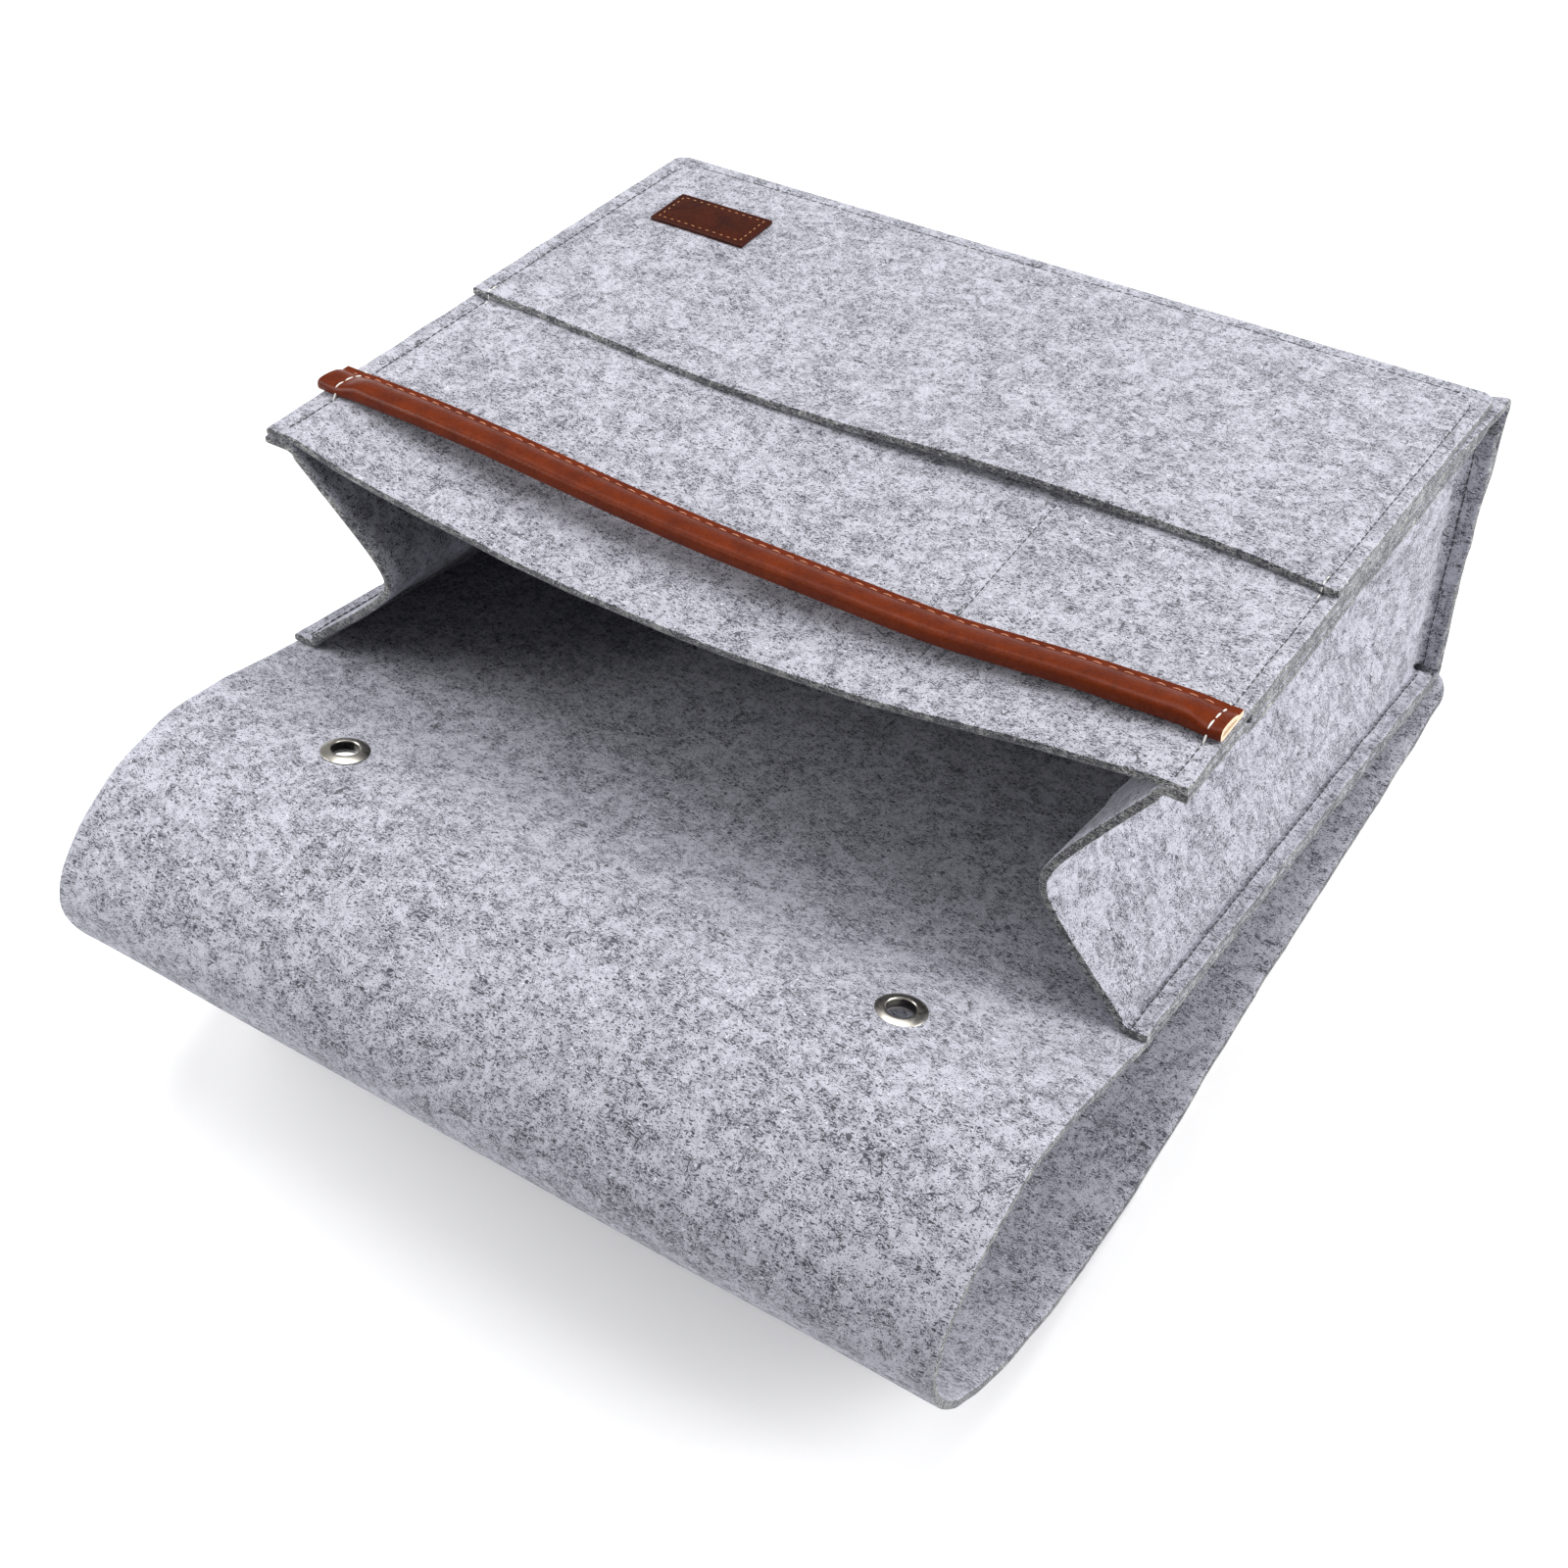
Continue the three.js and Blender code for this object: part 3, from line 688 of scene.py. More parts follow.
def curvePoint(curve, share):
    first, second, third, last = curve
    rest = 1 - share
    return rest**3 * first + 3 * rest**2 * share * second + 3 * rest * share**2 * third + share**3 * last


def curveHeading(curve, share):
    first, second, third, last = curve
    rest = 1 - share
    way = rest**2 * (second - first) + 2 * rest * share * (third - second) + share**2 * (last - third)
    return way.normalized()


def curveLength(curve):
    points = [curvePoint(curve, i / flap["measureSteps"]) for i in range(flap["measureSteps"] + 1)]
    return sum((end - start).length for start, end in zip(points, points[1:]))


def flapLine():  # points on the middle of the felt, each with the direction out of the loop
    line, travelled = [], 0.0
    for up in spaced(wrap["backEnd"], height, flap["step"]):
        line.append((onBack(0, up, felt / 2), backIn, up - height))
    for curve in flapCurves:
        length = curveLength(curve)
        steps = round(length / flap["step"])
        for i in range(1 if travelled else 0, steps + 1):
            way = curveHeading(curve, i / steps)
            out = Vector((0, way.z, -way.y))
            line.append((curvePoint(curve, i / steps) - out * felt / 2, out, travelled + length * i / steps))
        travelled += length
    tail = spaced(landing.y, tailEnd, 2 * flap["step"])[1:-2]
    tail += spaced(tailEnd - flap["tailCorner"], tailEnd, flap["cornerStep"])
    for y in sorted(set(tail)):
        line.append((Vector((0, y, felt / 2)), -zAxis, travelled + y - landing.y))
    return line


def roundedCorner(x, fromEnd, radius):  # bends the square corner of a sheet into a quarter circle
    across = (abs(x) - halfWidth + radius) / radius
    along = (radius - fromEnd) / radius
    if across <= 0 or along <= 0:
        return x, fromEnd
    newAcross = across * sqrt(1 - along**2 / 2)
    newAlong = along * sqrt(1 - across**2 / 2)
    return (halfWidth - radius + newAcross * radius) * (1 if x > 0 else -1), radius - newAlong * radius


def flapPlace(x, station):
    middle, out, along = station
    rightShare = x / halfWidth / 2 + 0.5
    twist = backTwist(x, height)
    if along > 0:
        liftShare = ramp(along, mixed(*flap["liftFade"], rightShare), 0)
    else:
        liftShare = ramp(along, -height, 0)
    spreadShare = liftShare if along < 0 else ramp(along, *flap["spreadOut"])
    edge = x + roughEdge(x, along, *flap["edge"])
    wave = unevenness(x, along, *flap["wave"]) * ramp(along, *flap["waveIn"]) * ramp(along, *flap["waveOut"])
    point = middle + out * (wave - seamDip(x) * ramp(along, *flap["seamOut"]))
    point.z += twist.z * liftShare
    point.x = edge + twist.x * spreadShare
    skew = ramp(along, *flap["skewIn"]) * ramp(along, *flap["skewOut"])
    point.y += mixed(*flap["noseSkew"], rightShare) * skew
    if middle.y > landing.y and out.z < -0.99:  # on the tail
        fromEnd = tailEnd - middle.y
        point.x, newFromEnd = roundedCorner(edge, fromEnd, flap["tailCorner"])
        point.y = tailEnd - newFromEnd
        point.x += flap["tailDrift"] * ramp(fromEnd, tailEnd - landing.y, 0) * rightShare
    return point


flapSheet = gridSheet("flap_felt", sideColumns, flapLine(), flapPlace)
makeFelt(flapSheet, keep=atJoint)

eyelet = {
    "punchSides": 48, "sides": 56, "lean": 3, **lengths(hole=5.9, bore=4.72, boreTop=0.6),
    "shift": lengths(left=0.8, right=-2.6),
    "slide": lengths(left=2.6, right=1.4),
    "profile": [  # radius and height above the felt, in millimetres
        (5.35, -3.75), (4.75, -2.3), (4.5, -1.2), (4.5, 0.55), (4.55, 0.88), (4.75, 1.08), (5.1, 1.15),
        (5.6, 1.08), (6.5, 0.82), (7.4, 0.48), (7.85, 0.24), (8.0, 0.12), (7.85, 0.03), (5.2, 0.03),
        (5.2, -1.2), (5.75, -3.6), (6.6, -3.65), (6.65, -3.85), (6.3, -4.0), (5.6, -3.97),
    ],
    "washer": [(5.8, -3.05), (7.4, -3.05), (7.5, -3.2), (7.5, -3.4), (7.35, -3.55), (5.8, -3.55)],
}
eyeletSpots = {}
for side in ("left", "right"):
    low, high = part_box(side + "_eyelet")
    centre = (low + high) / 2
    spot = min(flapLine(), key=lambda station: hypot(station[0].y - centre.y, station[0].z - centre.z))
    out = spot[1]
    turn = zAxis.rotation_difference(out).to_matrix().to_4x4()
    place = flapPlace(centre.x + eyelet["shift"][side], spot)
    place += Vector((0, -out.z, out.y)) * eyelet["slide"][side]
    tilt = Matrix.Rotation(radians(eyelet["lean"]), 4, "X")
    eyeletSpots[side] = Matrix.Translation(place + out * felt / 2) @ turn @ tilt
    deselectAll()
    bpy.ops.mesh.primitive_cylinder_add(vertices=eyelet["punchSides"], radius=eyelet["hole"], depth=felt * 4)
    punch = bpy.context.object
    punch.data.transform(eyeletSpots[side])
    applyModifier(flapSheet, "BOOLEAN", object=punch, operation="DIFFERENCE", solver="EXACT")
    bpy.data.objects.remove(punch)
smoothShade(flapSheet)
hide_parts("flap_neck", "flap_crown", "flap_bend", "flap_tail")


# gussets: creased walls with borders turned out and sewn to the front, bottom and back

gusset = {  # values for one side are given by its sign
    "rounding": 0.2, "wallSteps": 30, "runOnFrom": 0.45, "creaseShare": {-1: 0.5, 1: 0.46},
    "footRunOn": {-1: 4 * mm, 1: 9 * mm}, "frontSpread": {-1: 3.4 * mm, 1: 0.3 * mm},
    "wave": (21, 45 * mm, 1.2 * mm), "bottomRough": (44, 0.1, 0.6 * mm),  # seed, size and depth
    "frontRough": (38, 12 * mm, 0.7 * mm), "backRough": (31, 12 * mm, 0.7 * mm),
    **lengths(
        start=9, bend=3, runOut=45, pocketMouth=194, borderStep=5, step=4, borderRows=0.9, bottomExtra=2,
        spreadIn=(20, 80), waveIn=(0, 50), roughIn=(0, 10),
    ),
}


def stackUnderFront(up):  # felt layers above the gusset's border
    mouth = gusset["pocketMouth"] + gap
    return (felt + gap) * (1 + ramp(up, mouth + gusset["borderStep"], mouth))


def borderTurn(reach, bend):  # along the wall and outwards, after reach of border
    quarter = bend * pi / 2
    if reach < quarter:
        return bend * sin(reach / bend), bend * (1 - cos(reach / bend))
    return bend, bend + reach - quarter


gussetLift = felt * 1.5 + gap
gussetFoot = onBack(0, gusset["start"], gussetLift)
gussetHead = onFront(0, gusset["start"], -stackUnderFront(0) - felt / 2)
gussetLength = (gussetHead - gussetFoot).length
borderReach = pouch["border"] - gusset["bend"] + gusset["bend"] * pi / 2
seamReach = borderReach - pouch["stitchInset"]
bottomReach = pouch["border"] + gusset["bottomExtra"]
bottomSeamReach = bottomReach - pouch["stitchInset"]


def gussetPlace(side):
    bend = gusset["bend"]

    def wallInward(across, crease):  # how far the wall is drawn in, most at the crease
        share = gusset["creaseShare"][side]
        half = across / share if across < share else 2 - (1 - across) / (1 - share)
        whole = hypot(1, gusset["rounding"])
        return crease * (whole - hypot(half - 1, gusset["rounding"])) / (whole - gusset["rounding"])

    def place(column, row):
        (zone, across), (rowZone, along) = column, row
        up = along if rowZone == "wall" else gusset["start"]
        footUp = up + gusset["footRunOn"][side] * ramp(up / height, gusset["runOnFrom"], 1)
        foot = onBack(side * stitchLine, footUp, gussetLift)
        head = onFront(side * stitchLine, up, -stackUnderFront(up) - felt / 2)
        spread = backTwist(side * stitchLine, up).x
        rising = (head - foot).normalized()
        span = (head - foot).length
        crease = sqrt(max((gussetLength / 2) ** 2 - (span / 2) ** 2, 0))
        crease *= ramp(up - gusset["start"], 0, gusset["runOut"])
        if zone == "wall":
            point = foot + rising * (bend + across * (span - 2 * bend))
            wave = unevenness(up, across * span, *gusset["wave"], side) * ramp(4 * across * (1 - across), 0, 1)
            inward = wallInward(across, crease) - wave * ramp(up, *gusset["waveIn"])
            point.x = side * (seamLine - inward) + spread * (1 - across)
        else:
            over, outward = borderTurn(across, bend)
            dip = seamDip(seamLine + outward) * rimFade(height - up)
            rough = unevenness(up, 0, *gusset[zone + "Rough"], side) * ramp(across, *gusset["roughIn"])
            if zone == "front":
                point = head + rising * (over - bend) - frontOut * dip
                turned = ramp(across, 0, borderReach)
                rough += gusset["frontSpread"][side] * turned * ramp(up, *gusset["spreadIn"])
                spread = 0
            else:
                point = foot - rising * (over - bend) + backIn * dip
            point.x = side * (seamLine + outward + rough) + spread
        if rowZone == "border":
            drop = -(point - backCorner).dot(bottomOut) - gussetLift
            over, outward = borderTurn(along, drop)
            point += bottomOut * over
            bulge = wrap["cornerSpread"] * ramp(across, 0, 1) if side > 0 else 0
            bulge += unevenness(across, 0, *gusset["bottomRough"], side)
            point.x += side * (outward + bulge * ramp(along, *gusset["roughIn"]))
        return point

    return place


wallShares = [i / gusset["wallSteps"] for i in range(gusset["wallSteps"] + 1)]
borderSteps = spaced(0, borderReach, gusset["borderRows"], (seamReach,))[1:]
bottomSteps = spaced(0, bottomReach, gusset["borderRows"], (bottomSeamReach,))[1:]
gussetColumns = [("back", reach) for reach in reversed(borderSteps)]
gussetColumns += [("wall", share) for share in wallShares]
gussetColumns += [("front", reach) for reach in borderSteps]
gussetRows = [("border", reach) for reach in reversed(bottomSteps)]
gussetRows += [("wall", up) for up in spaced(gusset["start"], height, gusset["step"])]
gussets = {}
for name, side in (("left", -1), ("right", 1)):
    wall = gridSheet(name + "_gusset_felt", gussetColumns, gussetRows, gussetPlace(side))
    activate(wall)
    for i, vertex in enumerate(wall.data.vertices):  # no felt in the bottom corners, where borders meet
        row, column = divmod(i, len(gussetColumns))
        vertex.select = gussetColumns[column][0] != "wall" and gussetRows[row][0] == "border"
    for part in (*wall.data.edges, *wall.data.polygons):
        part.select = False
    setMode("EDIT")
    bpy.ops.mesh.select_mode(type="VERT")
    bpy.ops.mesh.delete(type="VERT")
    setMode("OBJECT")
    gussets[name] = makeFelt(wall)
    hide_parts(name + "_gusset")


# outer pocket on the front and inner pocket behind it

frontPocket = {
    "edge": (53, 51, 13 * mm, 0.5 * mm), "leftSpread": 0.7 * wrap["leftSpread"],
    "wave": (61, 55 * mm, 0.5 * mm), "lip": (63, 16 * mm, 0.4 * mm),
    "topLine": [
        (-160, 131.2), (0, 131), (100, 131), (118, 131.6), (135, 133), (150, 135.2), (160, 136.2),
    ],
    **lengths(
        height=133, corner=5, farStitch=11, stitchCorner=9, step=3.5,
        waveSides=30, waveIn=(10, 40), lipReach=4,
    ),
}
pocketFoot = frontSetback + gap


def pocketTop(x):  # the mouth edge runs out towards the right seam
    return lineAt(frontPocket["topLine"], x)


def pocketStitchOffset(x, up):  # distance to the pocket's sewn line, which turns round at the far corners
    corner = frontPocket["stitchCorner"]
    across = abs(x) - stitchLine + corner
    below = frontPocket["farStitch"] + corner - up
    if across > 0 and below > 0:
        return hypot(across, below) - corner
    return max(across, below) - corner


def pocketPlace(x, up):
    edge, fromFoot = roundedCorner(x, up - pocketFoot, frontPocket["corner"])
    up = pocketFoot + fromFoot
    fromMouth = frontPocket["height"] - up
    along = fromFoot / (frontPocket["height"] - pocketFoot)
    rough = roughEdge(x, up, *frontPocket["edge"])
    if x < 0:
        rough -= frontPocket["leftSpread"] * borderShare(x)
    dip = valleyAt(pocketStitchOffset(edge, up)) * rimFade(fromMouth)
    wave = unevenness(edge, up, *frontPocket["wave"]) * ramp(up, *frontPocket["waveIn"])
    wave *= ramp(abs(edge), seamLine, seamLine - frontPocket["waveSides"])
    lip = unevenness(x, 0, *frontPocket["lip"]) * ramp(fromMouth, frontPocket["lipReach"], 0)
    skewed = up + (pocketTop(edge) - frontPocket["height"]) * along**2
    return onFront(edge + rough, skewed + lip, gap + felt / 2 - dip - pocketSag(edge, up) + wave)


pocketRows = spaced(pocketFoot, frontPocket["height"], frontPocket["step"], (frontPocket["farStitch"],))
pocketSheet = makeFelt(gridSheet("front_pocket_felt", sideColumns, pocketRows, pocketPlace))
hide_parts("front_pocket")

innerPocket = {"edge": (73, 71, 13 * mm, 0.6 * mm), **lengths(start=8, mouth=194, belly=9, step=6)}
innerHeight = innerPocket["mouth"] - innerPocket["start"]


def innerPocketPlace(x, up):  # two compartments, each bellied between its seams
    start, end = (-seamLine, dividerLine) if x < dividerLine else (dividerLine, seamLine)
    share = min(max((x - start) / (end - start), 0), 1)
    fromStart, fromMouth = up - innerPocket["start"], innerPocket["mouth"] - up
    belly = innerPocket["belly"] * (fromStart / innerHeight) * 4 * share * (1 - share)
    dip = (seamDip(x) - valleyAt(x - dividerLine)) * rimFade(fromMouth) * rimFade(fromStart)
    rough = roughEdge(x, up, *innerPocket["edge"])
    return onFront(x + rough, up, -felt * 1.5 - gap - frontSag(x, up) - belly - dip)


innerRows = spaced(innerPocket["start"], innerPocket["mouth"], innerPocket["step"])
innerSheet = makeFelt(gridSheet("inner_pocket_felt", dividedColumns, innerRows, innerPocketPlace))
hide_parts("inner_pocket")


# strap: leather folded round a filler and sewn along the edge away from the mouth

strap = {
    "sagLine": [
        (-150, 0), (-118, 0.2), (-97, 1), (-76, 2.5), (-56, 3.8), (-36, 5), (-17, 5.7), (2, 6.1), (36, 6.2),
        (60, 6.1), (72, 5.7), (84, 4.6), (99, 3.1), (113, 1.8), (128, 0.9), (142, 0.2), (150, 0),
    ],
    "section": [  # middle of the leather: away from the mouth and up, from the sewn edge over and back
        (7.2, 1.95), (5.6, 1.95), (4.3, 2.05), (3.1, 2.9), (1.7, 3.85), (-0.5, 4.6), (-3.0, 5.0),
        (-5.0, 5.05), (-6.05, 4.75), (-6.5, 4.0), (-6.6, 2.9), (-6.5, 1.7), (-6.0, 0.95), (-4.8, 0.67),
        (-2.0, 0.65), (2.0, 0.65), (7.2, 0.65),
    ],
    "sectionSteps": 4, "seam": (5.0, 2.69), "thinned": 0.96, "widening": 0.12, "puff": 0.07,
    "squeeze": 0.42, "endSqueeze": {-1: 0.34, 1: 0.12},
    "wrinkle": (81, 3.2 * mm, 0.3 * mm), "softness": (83, 30 * mm, 0.25 * mm),
    **lengths(
        inset=30.2, slope=2.9, leftEnd=-163.2, rightEnd=159.6, leather=1.3, edgeRound=0.2, step=2,
        seamEnds=(3, 5), crossStitch=155.4, squeezeWidth=4.5, endReach=8, puffInset=9, puffWidth=5,
        wrinkleAt=147, wrinkleWidth=7, softFrom=4,
    ),
}


def strapUp(x):
    return height - strap["inset"] + strap["slope"] * x / halfWidth


def strapSag(x):
    return lineAt(strap["sagLine"], x)


def splinePoints(corners, steps):  # a smooth line through the corners
    line = []
    for i in range(len(corners) - 1):
        before, first = corners[max(i - 1, 0)], corners[i]
        last, after = corners[i + 1], corners[min(i + 2, len(corners) - 1)]
        for j in range(steps):
            t = j / steps
            line.append(tuple(
                0.5 * (
                    2 * b + (c - a) * t + (2 * a - 5 * b + 4 * c - d) * t**2
                    + (3 * b - a - 3 * c + d) * t**3
                )
                for a, b, c, d in zip(before, first, last, after)
            ))
    return line + [corners[-1]]


def strapRise(x):  # pressed flat under the cross-stitches, puffed just inside them
    past = abs(x) - strap["crossStitch"]
    pressed = strap["squeeze"] * hump(past, strap["squeezeWidth"])
    if past > 0:
        endSqueeze = strap["endSqueeze"][-1 if x < 0 else 1]
        pressed = mixed(strap["squeeze"], endSqueeze, ramp(past, 0, strap["endReach"]))
    return 1 - pressed + strap["puff"] * hump(past + strap["puffInset"], strap["puffWidth"])


def strapPlace(x, corner):
    away, up = corner[0] * mm, corner[1] * mm
    rise = strapRise(x)
    soft = unevenness(x, up + away, *strap["wrinkle"])
    soft *= hump(abs(x) - strap["wrinkleAt"], strap["wrinkleWidth"])
    soft += unevenness(x, away, *strap["softness"])
    soft *= ramp(up, 0, strap["softFrom"])
    up = strap["leather"] / 2 + (up - strap["leather"] / 2) * rise + soft
    widen = 1 + strap["widening"] * (1 - rise)
    return onFront(x, strapUp(x) - away * widen, gap + up - strapSag(x))


strapColumns = spaced(strap["leftEnd"], strap["rightEnd"], strap["step"])
strapSection = splinePoints(strap["section"], strap["sectionSteps"])
strapSheet = gridSheet("strap_leather", strapColumns, strapSection, strapPlace)
strapSheet.data.materials.append(strapLeather)
strapSheet.data.materials.append(thread["fleshSide"])
activate(strapSheet)
setMode("EDIT")
selectMesh("SELECT")
bpy.ops.mesh.flip_normals()
setMode("OBJECT")
applyModifier(
    strapSheet, "SOLIDIFY", thickness=strap["leather"] * strap["thinned"], offset=0,
    use_even_offset=True, material_offset=1, material_offset_rim=1,
)
roundEdges(strapSheet, strap["edgeRound"])
smoothShade(strapSheet)
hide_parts("strap_cover")

filler = {"sides": 20, "middle": -2.3, "wide": 3.0, "high": 1.3, "up": 2.7, "recess": 2.2 * mm, "step": 4 * mm}


def fillerPlace(x, turn):
    away = (filler["middle"] + filler["wide"] * cos(turn)) * mm
    up = (filler["up"] + filler["high"] * sin(turn)) * mm * strapRise(x)
    return onFront(x, strapUp(x) - away, gap + up - strapSag(x))


fillerEnds = strap["leftEnd"] + filler["recess"], strap["rightEnd"] - filler["recess"]
fillerTurns = [2 * pi * i / filler["sides"] for i in range(filler["sides"] + 1)]
fillerCord = gridSheet("strap_filler", spaced(*fillerEnds, filler["step"]), fillerTurns, fillerPlace)
activate(fillerCord)
setMode("EDIT")
selectMesh("SELECT")
bpy.ops.mesh.remove_doubles(threshold=1e-6)
bpy.ops.mesh.edge_face_add()
selectMesh("DESELECT")
bpy.ops.mesh.select_non_manifold()
bpy.ops.mesh.fill_holes(sides=0)
selectMesh("SELECT")
bpy.ops.mesh.normals_make_consistent(inside=False)
setMode("OBJECT")
fillerCord.data.materials.append(thread["creamCore"])
smoothShade(fillerCord)
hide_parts("strap_core")
print("strap ready")


# patch, sewn to the outer pocket

patch = {
    "turn": -1.5, "columns": 20, "rows": 12,
    **lengths(
        width=39, high=21.5, thick=1.5, middle=(-120.5, 45.75), off=0.1, edgeRound=0.45,
        groove=0.22, grooveInset=2.5, grooveWidth=0.9, stitchInset=2.4,
    ),
}


def patchSpot(across, along):  # place on the pocket, from the patch's middle
    turn = radians(patch["turn"])
    x = patch["middle"][0] + across * cos(turn) - along * sin(turn)
    return pocketPlace(x, patch["middle"][1] + across * sin(turn) + along * cos(turn))


deselectAll()
bpy.ops.mesh.primitive_grid_add(x_subdivisions=patch["columns"], y_subdivisions=patch["rows"], size=1)
patchPiece = bpy.context.object
patchPiece.name = "leather_patch"
for vertex in patchPiece.data.vertices:
    across, along = vertex.co.x * patch["width"], vertex.co.y * patch["high"]
    inset = min(patch["width"] / 2 - abs(across), patch["high"] / 2 - abs(along))
    dip = patch["groove"] * hump(inset - patch["grooveInset"], patch["grooveWidth"])
    vertex.co = patchSpot(across, along) + frontOut * (felt / 2 + patch["off"] + patch["thick"] / 2 - dip)
patchPiece.data.materials.append(patchLeather)
applyModifier(patchPiece, "SOLIDIFY", thickness=patch["thick"], offset=0)
roundEdges(patchPiece, patch["edgeRound"], segments=3)
smoothShade(patchPiece)
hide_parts("patch")


# eyelets and washers, turned ring by ring from their profiles

def turnedRing(name, profile, place):
    deselectAll()
    firstRadius, firstHeight = profile[0]
    bpy.ops.mesh.primitive_circle_add(
        vertices=eyelet["sides"], radius=firstRadius, location=(0, 0, firstHeight)
    )
    ring = bpy.context.object
    ring.name = name
    bpy.ops.object.transform_apply(location=True)
    setMode("EDIT")
    selectMesh("SELECT")
    for (oldRadius, oldHeight), (radius, level) in zip(profile, profile[1:] + profile[:1]):
        bpy.ops.mesh.extrude_region_move(TRANSFORM_OT_translate={"value": (0, 0, level - oldHeight)})
        scale = radius / oldRadius
        bpy.ops.transform.resize(value=(scale, scale, 1), center_override=(0, 0, level))
    selectMesh("SELECT")
    bpy.ops.mesh.remove_doubles(threshold=1e-6)
    bpy.ops.mesh.normals_make_consistent(inside=False)
    setMode("OBJECT")
    ring.data.materials.append(nickel["polishedNickel"])
    ring.data.materials.append(nickel["boreNickelPaintedShade"])
    for polygon in ring.data.polygons:  # painted shade: the bore is darker than the flange
        inBore = polygon.center.xy.length < eyelet["bore"] and polygon.center.z < eyelet["boreTop"]
        polygon.material_index = int(inBore)
    ring.data.transform(place)
    smoothShade(ring, degrees=32)
    return ring


for side, place in eyeletSpots.items():
    for kind, profile in (("eyelet", eyelet["profile"]), ("washer", eyelet["washer"])):
        ring = turnedRing(side + "_" + kind + "_metal", [(r * mm, z * mm) for r, z in profile], place)
        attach(ring, "pouch")
        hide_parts(side + "_" + kind)
print("eyelets ready")


# threads: one stitch is modelled, then copied along each sewn line

stitch = {
    "turnSteps": 8, "taper": 0.35,
    **lengths(
        seam=(3.2, 2.9, 0.6, 0.55),  # pitch, length, width and rise of each kind
        strap=(4.9, 3.1, 0.5, 0.55),
        cross=(4.6, 4.5, 0.65, 0.85),
        tack=(2.6, 2.3, 0.55, 0.6),
        patch=(3.0, 2.1, 0.55, 0.6),
        step=3, farStep=4,  # between the points of a sewn line
        lift=0.16, fromMouth=2, fromPocket=1, fromStrap=7, fromFold=4, backStart=12,
    ),
}
deselectAll()
bpy.ops.mesh.primitive_uv_sphere_add(segments=8, ring_count=6, radius=0.5)
stitchModel = bpy.context.object
stitchModel.data.transform(Matrix.Rotation(pi / 2, 4, "Y"))
for vertex in stitchModel.data.vertices:  # thinner and lower at both ends
    share = vertex.co.x * 2
    vertex.co.y *= sqrt(1 - stitch["taper"] * share**2)
    vertex.co.z -= stitch["taper"] * share**2
smoothShade(stitchModel, degrees=180)


def sewn(name, material, seams):  # each seam is its kind and a list of (point, direction out of the surface)
    copies = []
    for kind, line in seams:
        pitch, length, width, rise = stitch[kind]
        wait = pitch / 2
        for (start, out), (end, _) in zip(line, line[1:]):
            run = (end - start).length
            while run > 0 and wait <= run:
                way = (end - start).normalized()
                side = out.cross(way).normalized()
                turn = Matrix((way * length, side * width, way.cross(side) * rise)).transposed().to_4x4()
                mesh = stitchModel.data.copy()
                mesh.transform(Matrix.Translation(start.lerp(end, wait / run)) @ turn)
                copy = bpy.data.objects.new(name, mesh)
                bpy.context.scene.collection.objects.link(copy)
                copies.append(copy)
                wait += pitch
            wait -= run
    activate(copies[0])
    for copy in copies:
        copy.select_set(True)
    bpy.ops.object.join()
    threads = bpy.context.object
    threads.name = name
    threads.data.materials.append(material)
    return threads


def raised(points, out):  # from the middle of a sheet to its face
    return [(point + out * (felt / 2 + stitch["lift"]), out) for point in points]


def steps(start, end):
    return spaced(start, end, stitch["step"])


# the seam threads' dark colour is painted shade of the sunk seams
frontSeams = []
for side in (-1, 1):
    ups = steps(pocketTop(side * halfWidth) + stitch["fromPocket"], height - stitch["fromMouth"])
    rim = raised([wrapPlace(side * stitchLine, height - up) for up in ups], frontOut)
    frontSeams.append(("seam", rim))
corner, far = frontPocket["stitchCorner"], frontPocket["farStitch"]
leftUps = reversed(steps(far + corner, frontPocket["height"] - stitch["fromMouth"]))
leftPath = [(-stitchLine, up) for up in leftUps]
for i in range(stitch["turnSteps"] + 1):
    turn = pi / 2 * i / stitch["turnSteps"]
    leftPath.append((-stitchLine + corner - corner * cos(turn), far + corner - corner * sin(turn)))
farPath = [(x, far) for x in spaced(-stitchLine + corner, stitchLine - corner, stitch["farStep"])]
pocketPath = leftPath + farPath + [(-x, up) for x, up in reversed(leftPath)]
pocketRim = raised([pocketPlace(x, up) for x, up in pocketPath], frontOut)
frontSeams.append(("seam", pocketRim))
dividerUps = steps(pocketTop(dividerLine) + stitch["fromPocket"], strapUp(dividerLine) - stitch["fromStrap"])
dividerRim = raised([wrapPlace(dividerLine, height - up) for up in dividerUps], frontOut)
frontSeams.append(("seam", dividerRim))
frontThreads = sewn("front_threads", thread["seamThreadPaintedShade"], frontSeams)
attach(frontThreads, "front")

backSeams, bottomSeams = [], []
for side in (-1, 1):
    place = gussetPlace(side)
    ups = steps(gusset["start"] + stitch["step"], height - stitch["fromMouth"])
    rim = raised([place(("back", seamReach), ("wall", up)) for up in ups], backIn)
    backSeams.append(("seam", rim))
    ups = steps(stitch["backStart"], wrap["backEnd"])
    under = [(onBack(side * stitchLine, up, pouch["valley"] - stitch["lift"]), -backIn) for up in ups]
    backSeams.append(("seam", under))
    rim = raised([place(("wall", share), ("border", bottomSeamReach)) for share in wallShares], -bottomOut)
    bottomSeams.append(("seam", rim))
    downs = steps(bottomStart + stitch["fromFold"], bottomEnd - stitch["fromFold"])
    under = raised([wrapPlace(side * stitchLine, along) for along in downs], bottomOut)
    bottomSeams.append(("seam", under))
backThreads = sewn("back_threads", thread["seamThreadPaintedShade"], backSeams)
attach(backThreads, "pouch")
bottomThreads = sewn("bottom_threads", thread["seamThreadPaintedShade"], bottomSeams)

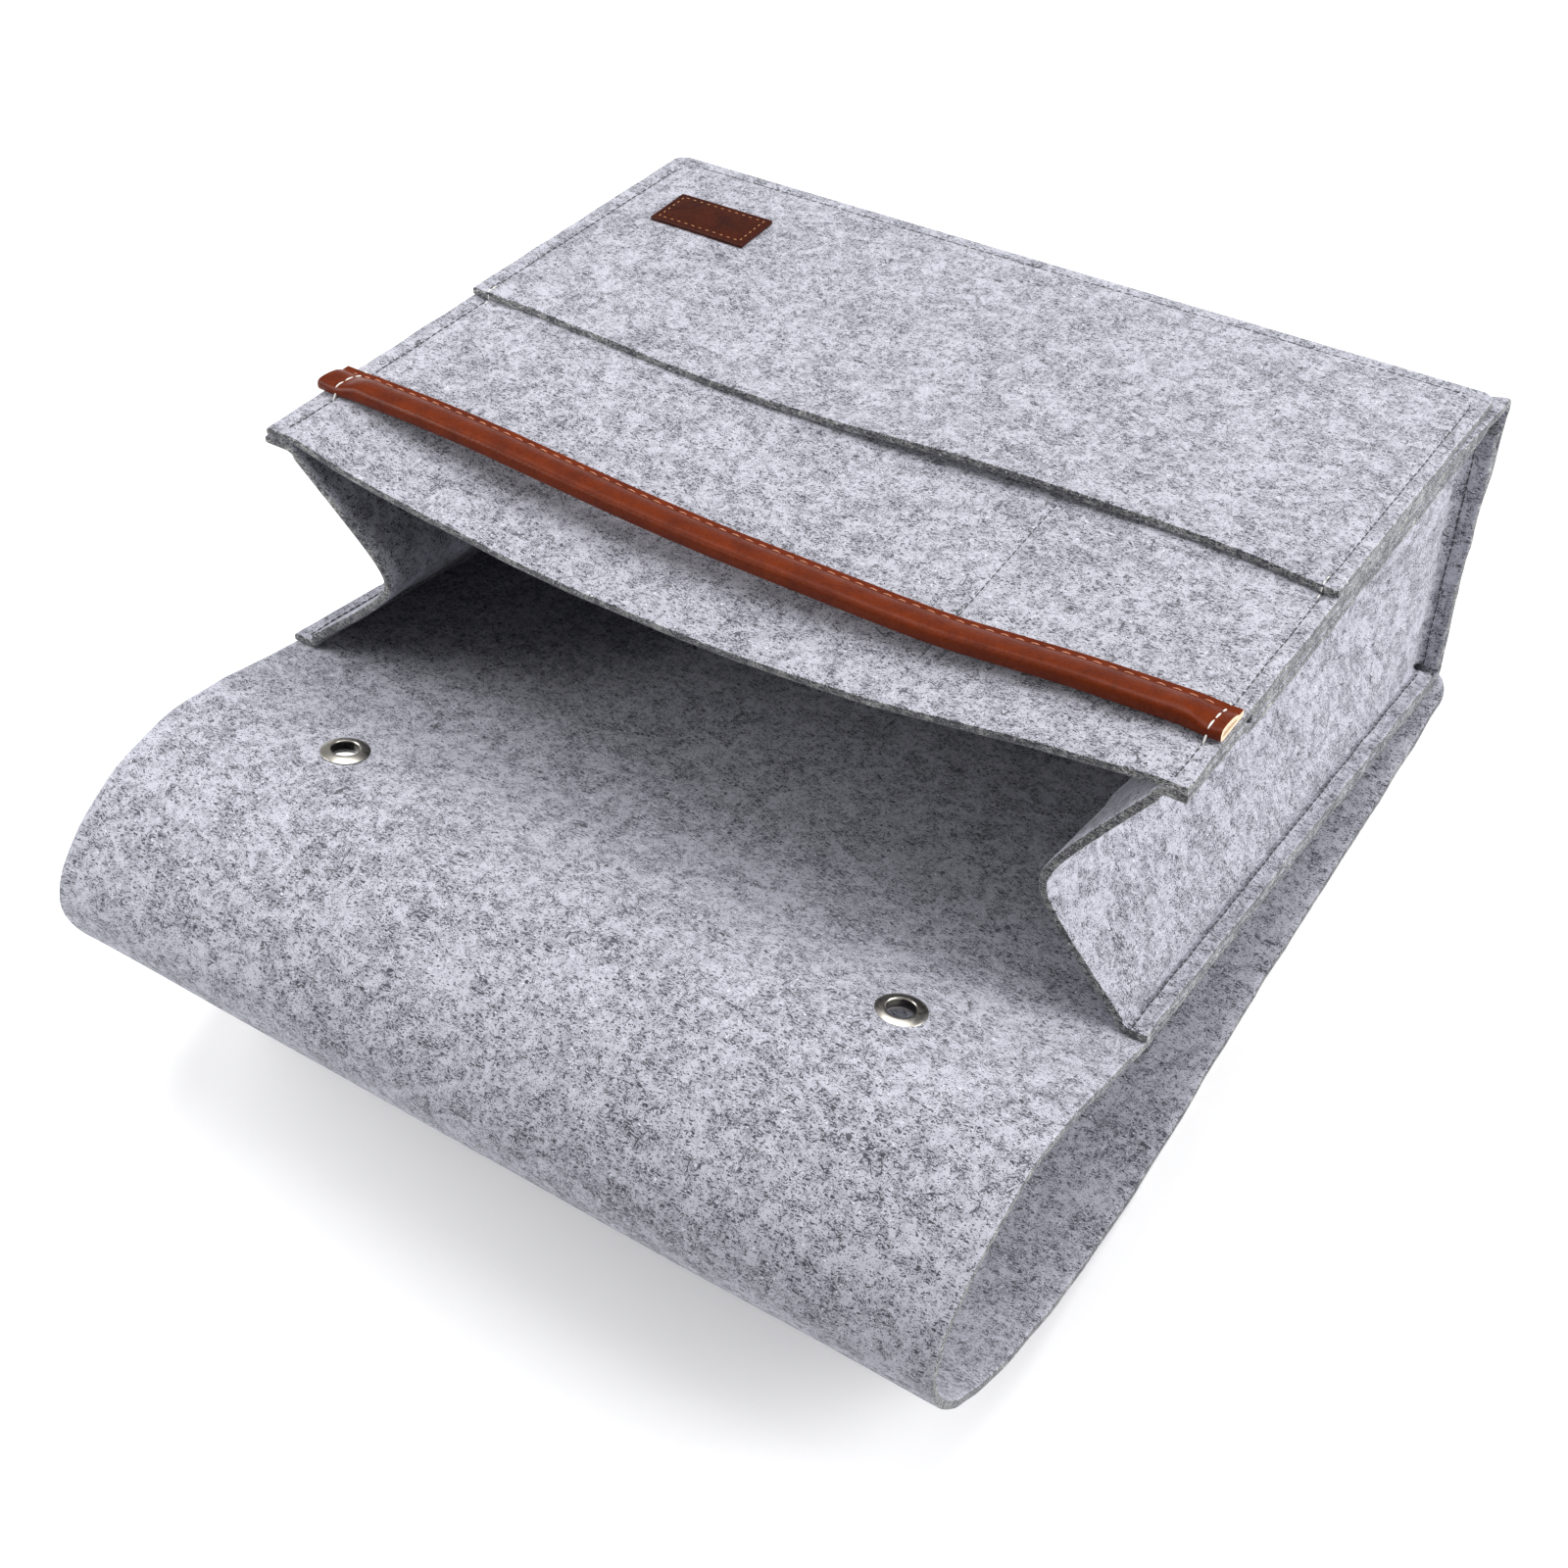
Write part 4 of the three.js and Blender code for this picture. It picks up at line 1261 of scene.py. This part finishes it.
strapEnds = strap["leftEnd"] + strap["seamEnds"][0], strap["rightEnd"] - strap["seamEnds"][1]
strapSeam = [(strapPlace(x, strap["seam"]), frontOut) for x in steps(*strapEnds)]
strapThreads = sewn("strap_threads", thread["tanThread"], [("strap", strapSeam)])
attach(strapThreads, "front")

cross = {  # over the strap in its section's millimetres, and the tacks at the pocket's mouth
    "near": [(9.5, -0.1), (8.2, 0.3), (7.4, 2.4)], "far": [(-7.6, 1.0), (-8.8, 0.0)],
    "lift": 1.0, "topFrom": 1.9,
    **lengths(tackInset=0.5, tackBelow=(5, 0.4), tackAbove=(0.6, 2), tackLift=0.2),
}
crossSeams = []
overStrap = [(away, up + cross["lift"]) for away, up in strapSection if up > cross["topFrom"]]
for x in (-strap["crossStitch"], strap["crossStitch"]):
    line = [(strapPlace(x, corner), frontOut) for corner in cross["near"] + overStrap + cross["far"]]
    crossSeams.append(("cross", line))
for side in (-1, 1):
    x, end = side * (stitchLine - cross["tackInset"]), pocketTop(side * stitchLine)
    tack = raised([pocketPlace(x, frontPocket["height"] - down) for down in cross["tackBelow"]], frontOut)
    tack += [(onFront(x, end + over, cross["tackLift"]), frontOut) for over in cross["tackAbove"]]
    crossSeams.append(("tack", tack))
whiteThreads = sewn("white_threads", thread["whiteThread"], crossSeams)
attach(whiteThreads, "front")

right, top = patch["width"] / 2 - patch["stitchInset"], patch["high"] / 2 - patch["stitchInset"]
patchPath = [(x, -top) for x in steps(-right, right)] + [(right, up) for up in steps(-top, top)]
patchPath += [(x, top) for x in reversed(steps(-right, right))]
patchPath += [(-right, up) for up in reversed(steps(-top, top))]
patchFace = felt / 2 + patch["off"] + patch["thick"] - patch["groove"]
patchRim = [(patchSpot(x, up) + frontOut * patchFace, frontOut) for x, up in patchPath]
patchThreads = sewn("patch_threads", thread["goldThread"], [("patch", patchRim)])
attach(patchThreads, "front")
bpy.data.objects.remove(stitchModel)
print("threads ready")


# bodies

bend = lengths(mouthStart=-84, mouthEnd=-24, flapStart=68, flapEnd=2)
mouthStart = onFront(0, height, bend["mouthStart"])
mouthEnd = onFront(0, height, bend["mouthEnd"])
for piece in (wrapSheet, gussets["left"], gussets["right"], bottomThreads):
    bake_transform(piece)
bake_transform(flapSheet)
for piece in (pocketSheet, innerSheet, strapSheet, fillerCord, patchPiece):
    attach(piece, "front")

flapLine()[-1][2] - flapLine()[0][2]
print("bodies ready")


# floor, light and camera

studio = {
    "floor": 6.0, "floorDrop": 0.2 * mm, "white": (1, 1, 1, 1), "world": 0.24, "aim": (0, 0, 0.08),
    "paper": {
        "Base Color": (0.93, 0.93, 0.93, 1), "Roughness": 0.9,
        "Emission Color": (1, 1, 1, 1), "Emission Strength": 0.14,
    },
    "keyPlace": (-0.1, 0.5, 1.5), "keySize": 1.4, "keyPower": 19.5,
    "fillPlace": (1.5, 0.55, 0.8), "fillSize": 1.2, "fillPower": 33.5,
    "sidePlace": (-0.64, -0.34, 0.5), "sideSize": 0.5, "sidePower": 4.9,
}
deselectAll()
bpy.ops.mesh.primitive_plane_add(size=studio["floor"], location=(0, 0, -studio["floorDrop"]))
floor = bpy.context.object
floor.name = "studio_floor"
floor.data.materials.append(newMaterial("studioPaper", studio["paper"]))

world = bpy.data.worlds.new("studio")
world.use_nodes = True
sky = world.node_tree.nodes["Background"].inputs
sky["Color"].default_value = studio["white"]
sky["Strength"].default_value = studio["world"]
bpy.context.scene.world = world
for name in ("key", "fill", "side"):
    bpy.ops.object.light_add(type="AREA", location=studio[name + "Place"])
    lamp = bpy.context.object
    lamp.name = name + "_light"
    lamp.data.size = studio[name + "Size"]
    lamp.data.energy = studio[name + "Power"]
    lamp.rotation_euler = (Vector(studio["aim"]) - lamp.location).to_track_quat("-Z", "Y").to_euler()

view = {
    "ahead": (-0.41548, 0.47884, -0.77337), "roll": -10.95, "lens": 53.51, "sensor": 36,
    **lengths(place=(323.6, -388.13, 652.25), near=10),
}
bpy.ops.object.camera_add(location=view["place"])
camera = bpy.context.object
roll = Matrix.Rotation(radians(view["roll"]), 3, "Z").to_quaternion()
camera.rotation_euler = (Vector(view["ahead"]).to_track_quat("-Z", "Y") @ roll).to_euler()
camera.data.sensor_width = view["sensor"]
camera.data.lens = view["lens"]
camera.data.clip_start = view["near"]
bpy.context.scene.camera = camera
bpy.context.scene.view_settings.view_transform = "Standard"
print("studio ready")
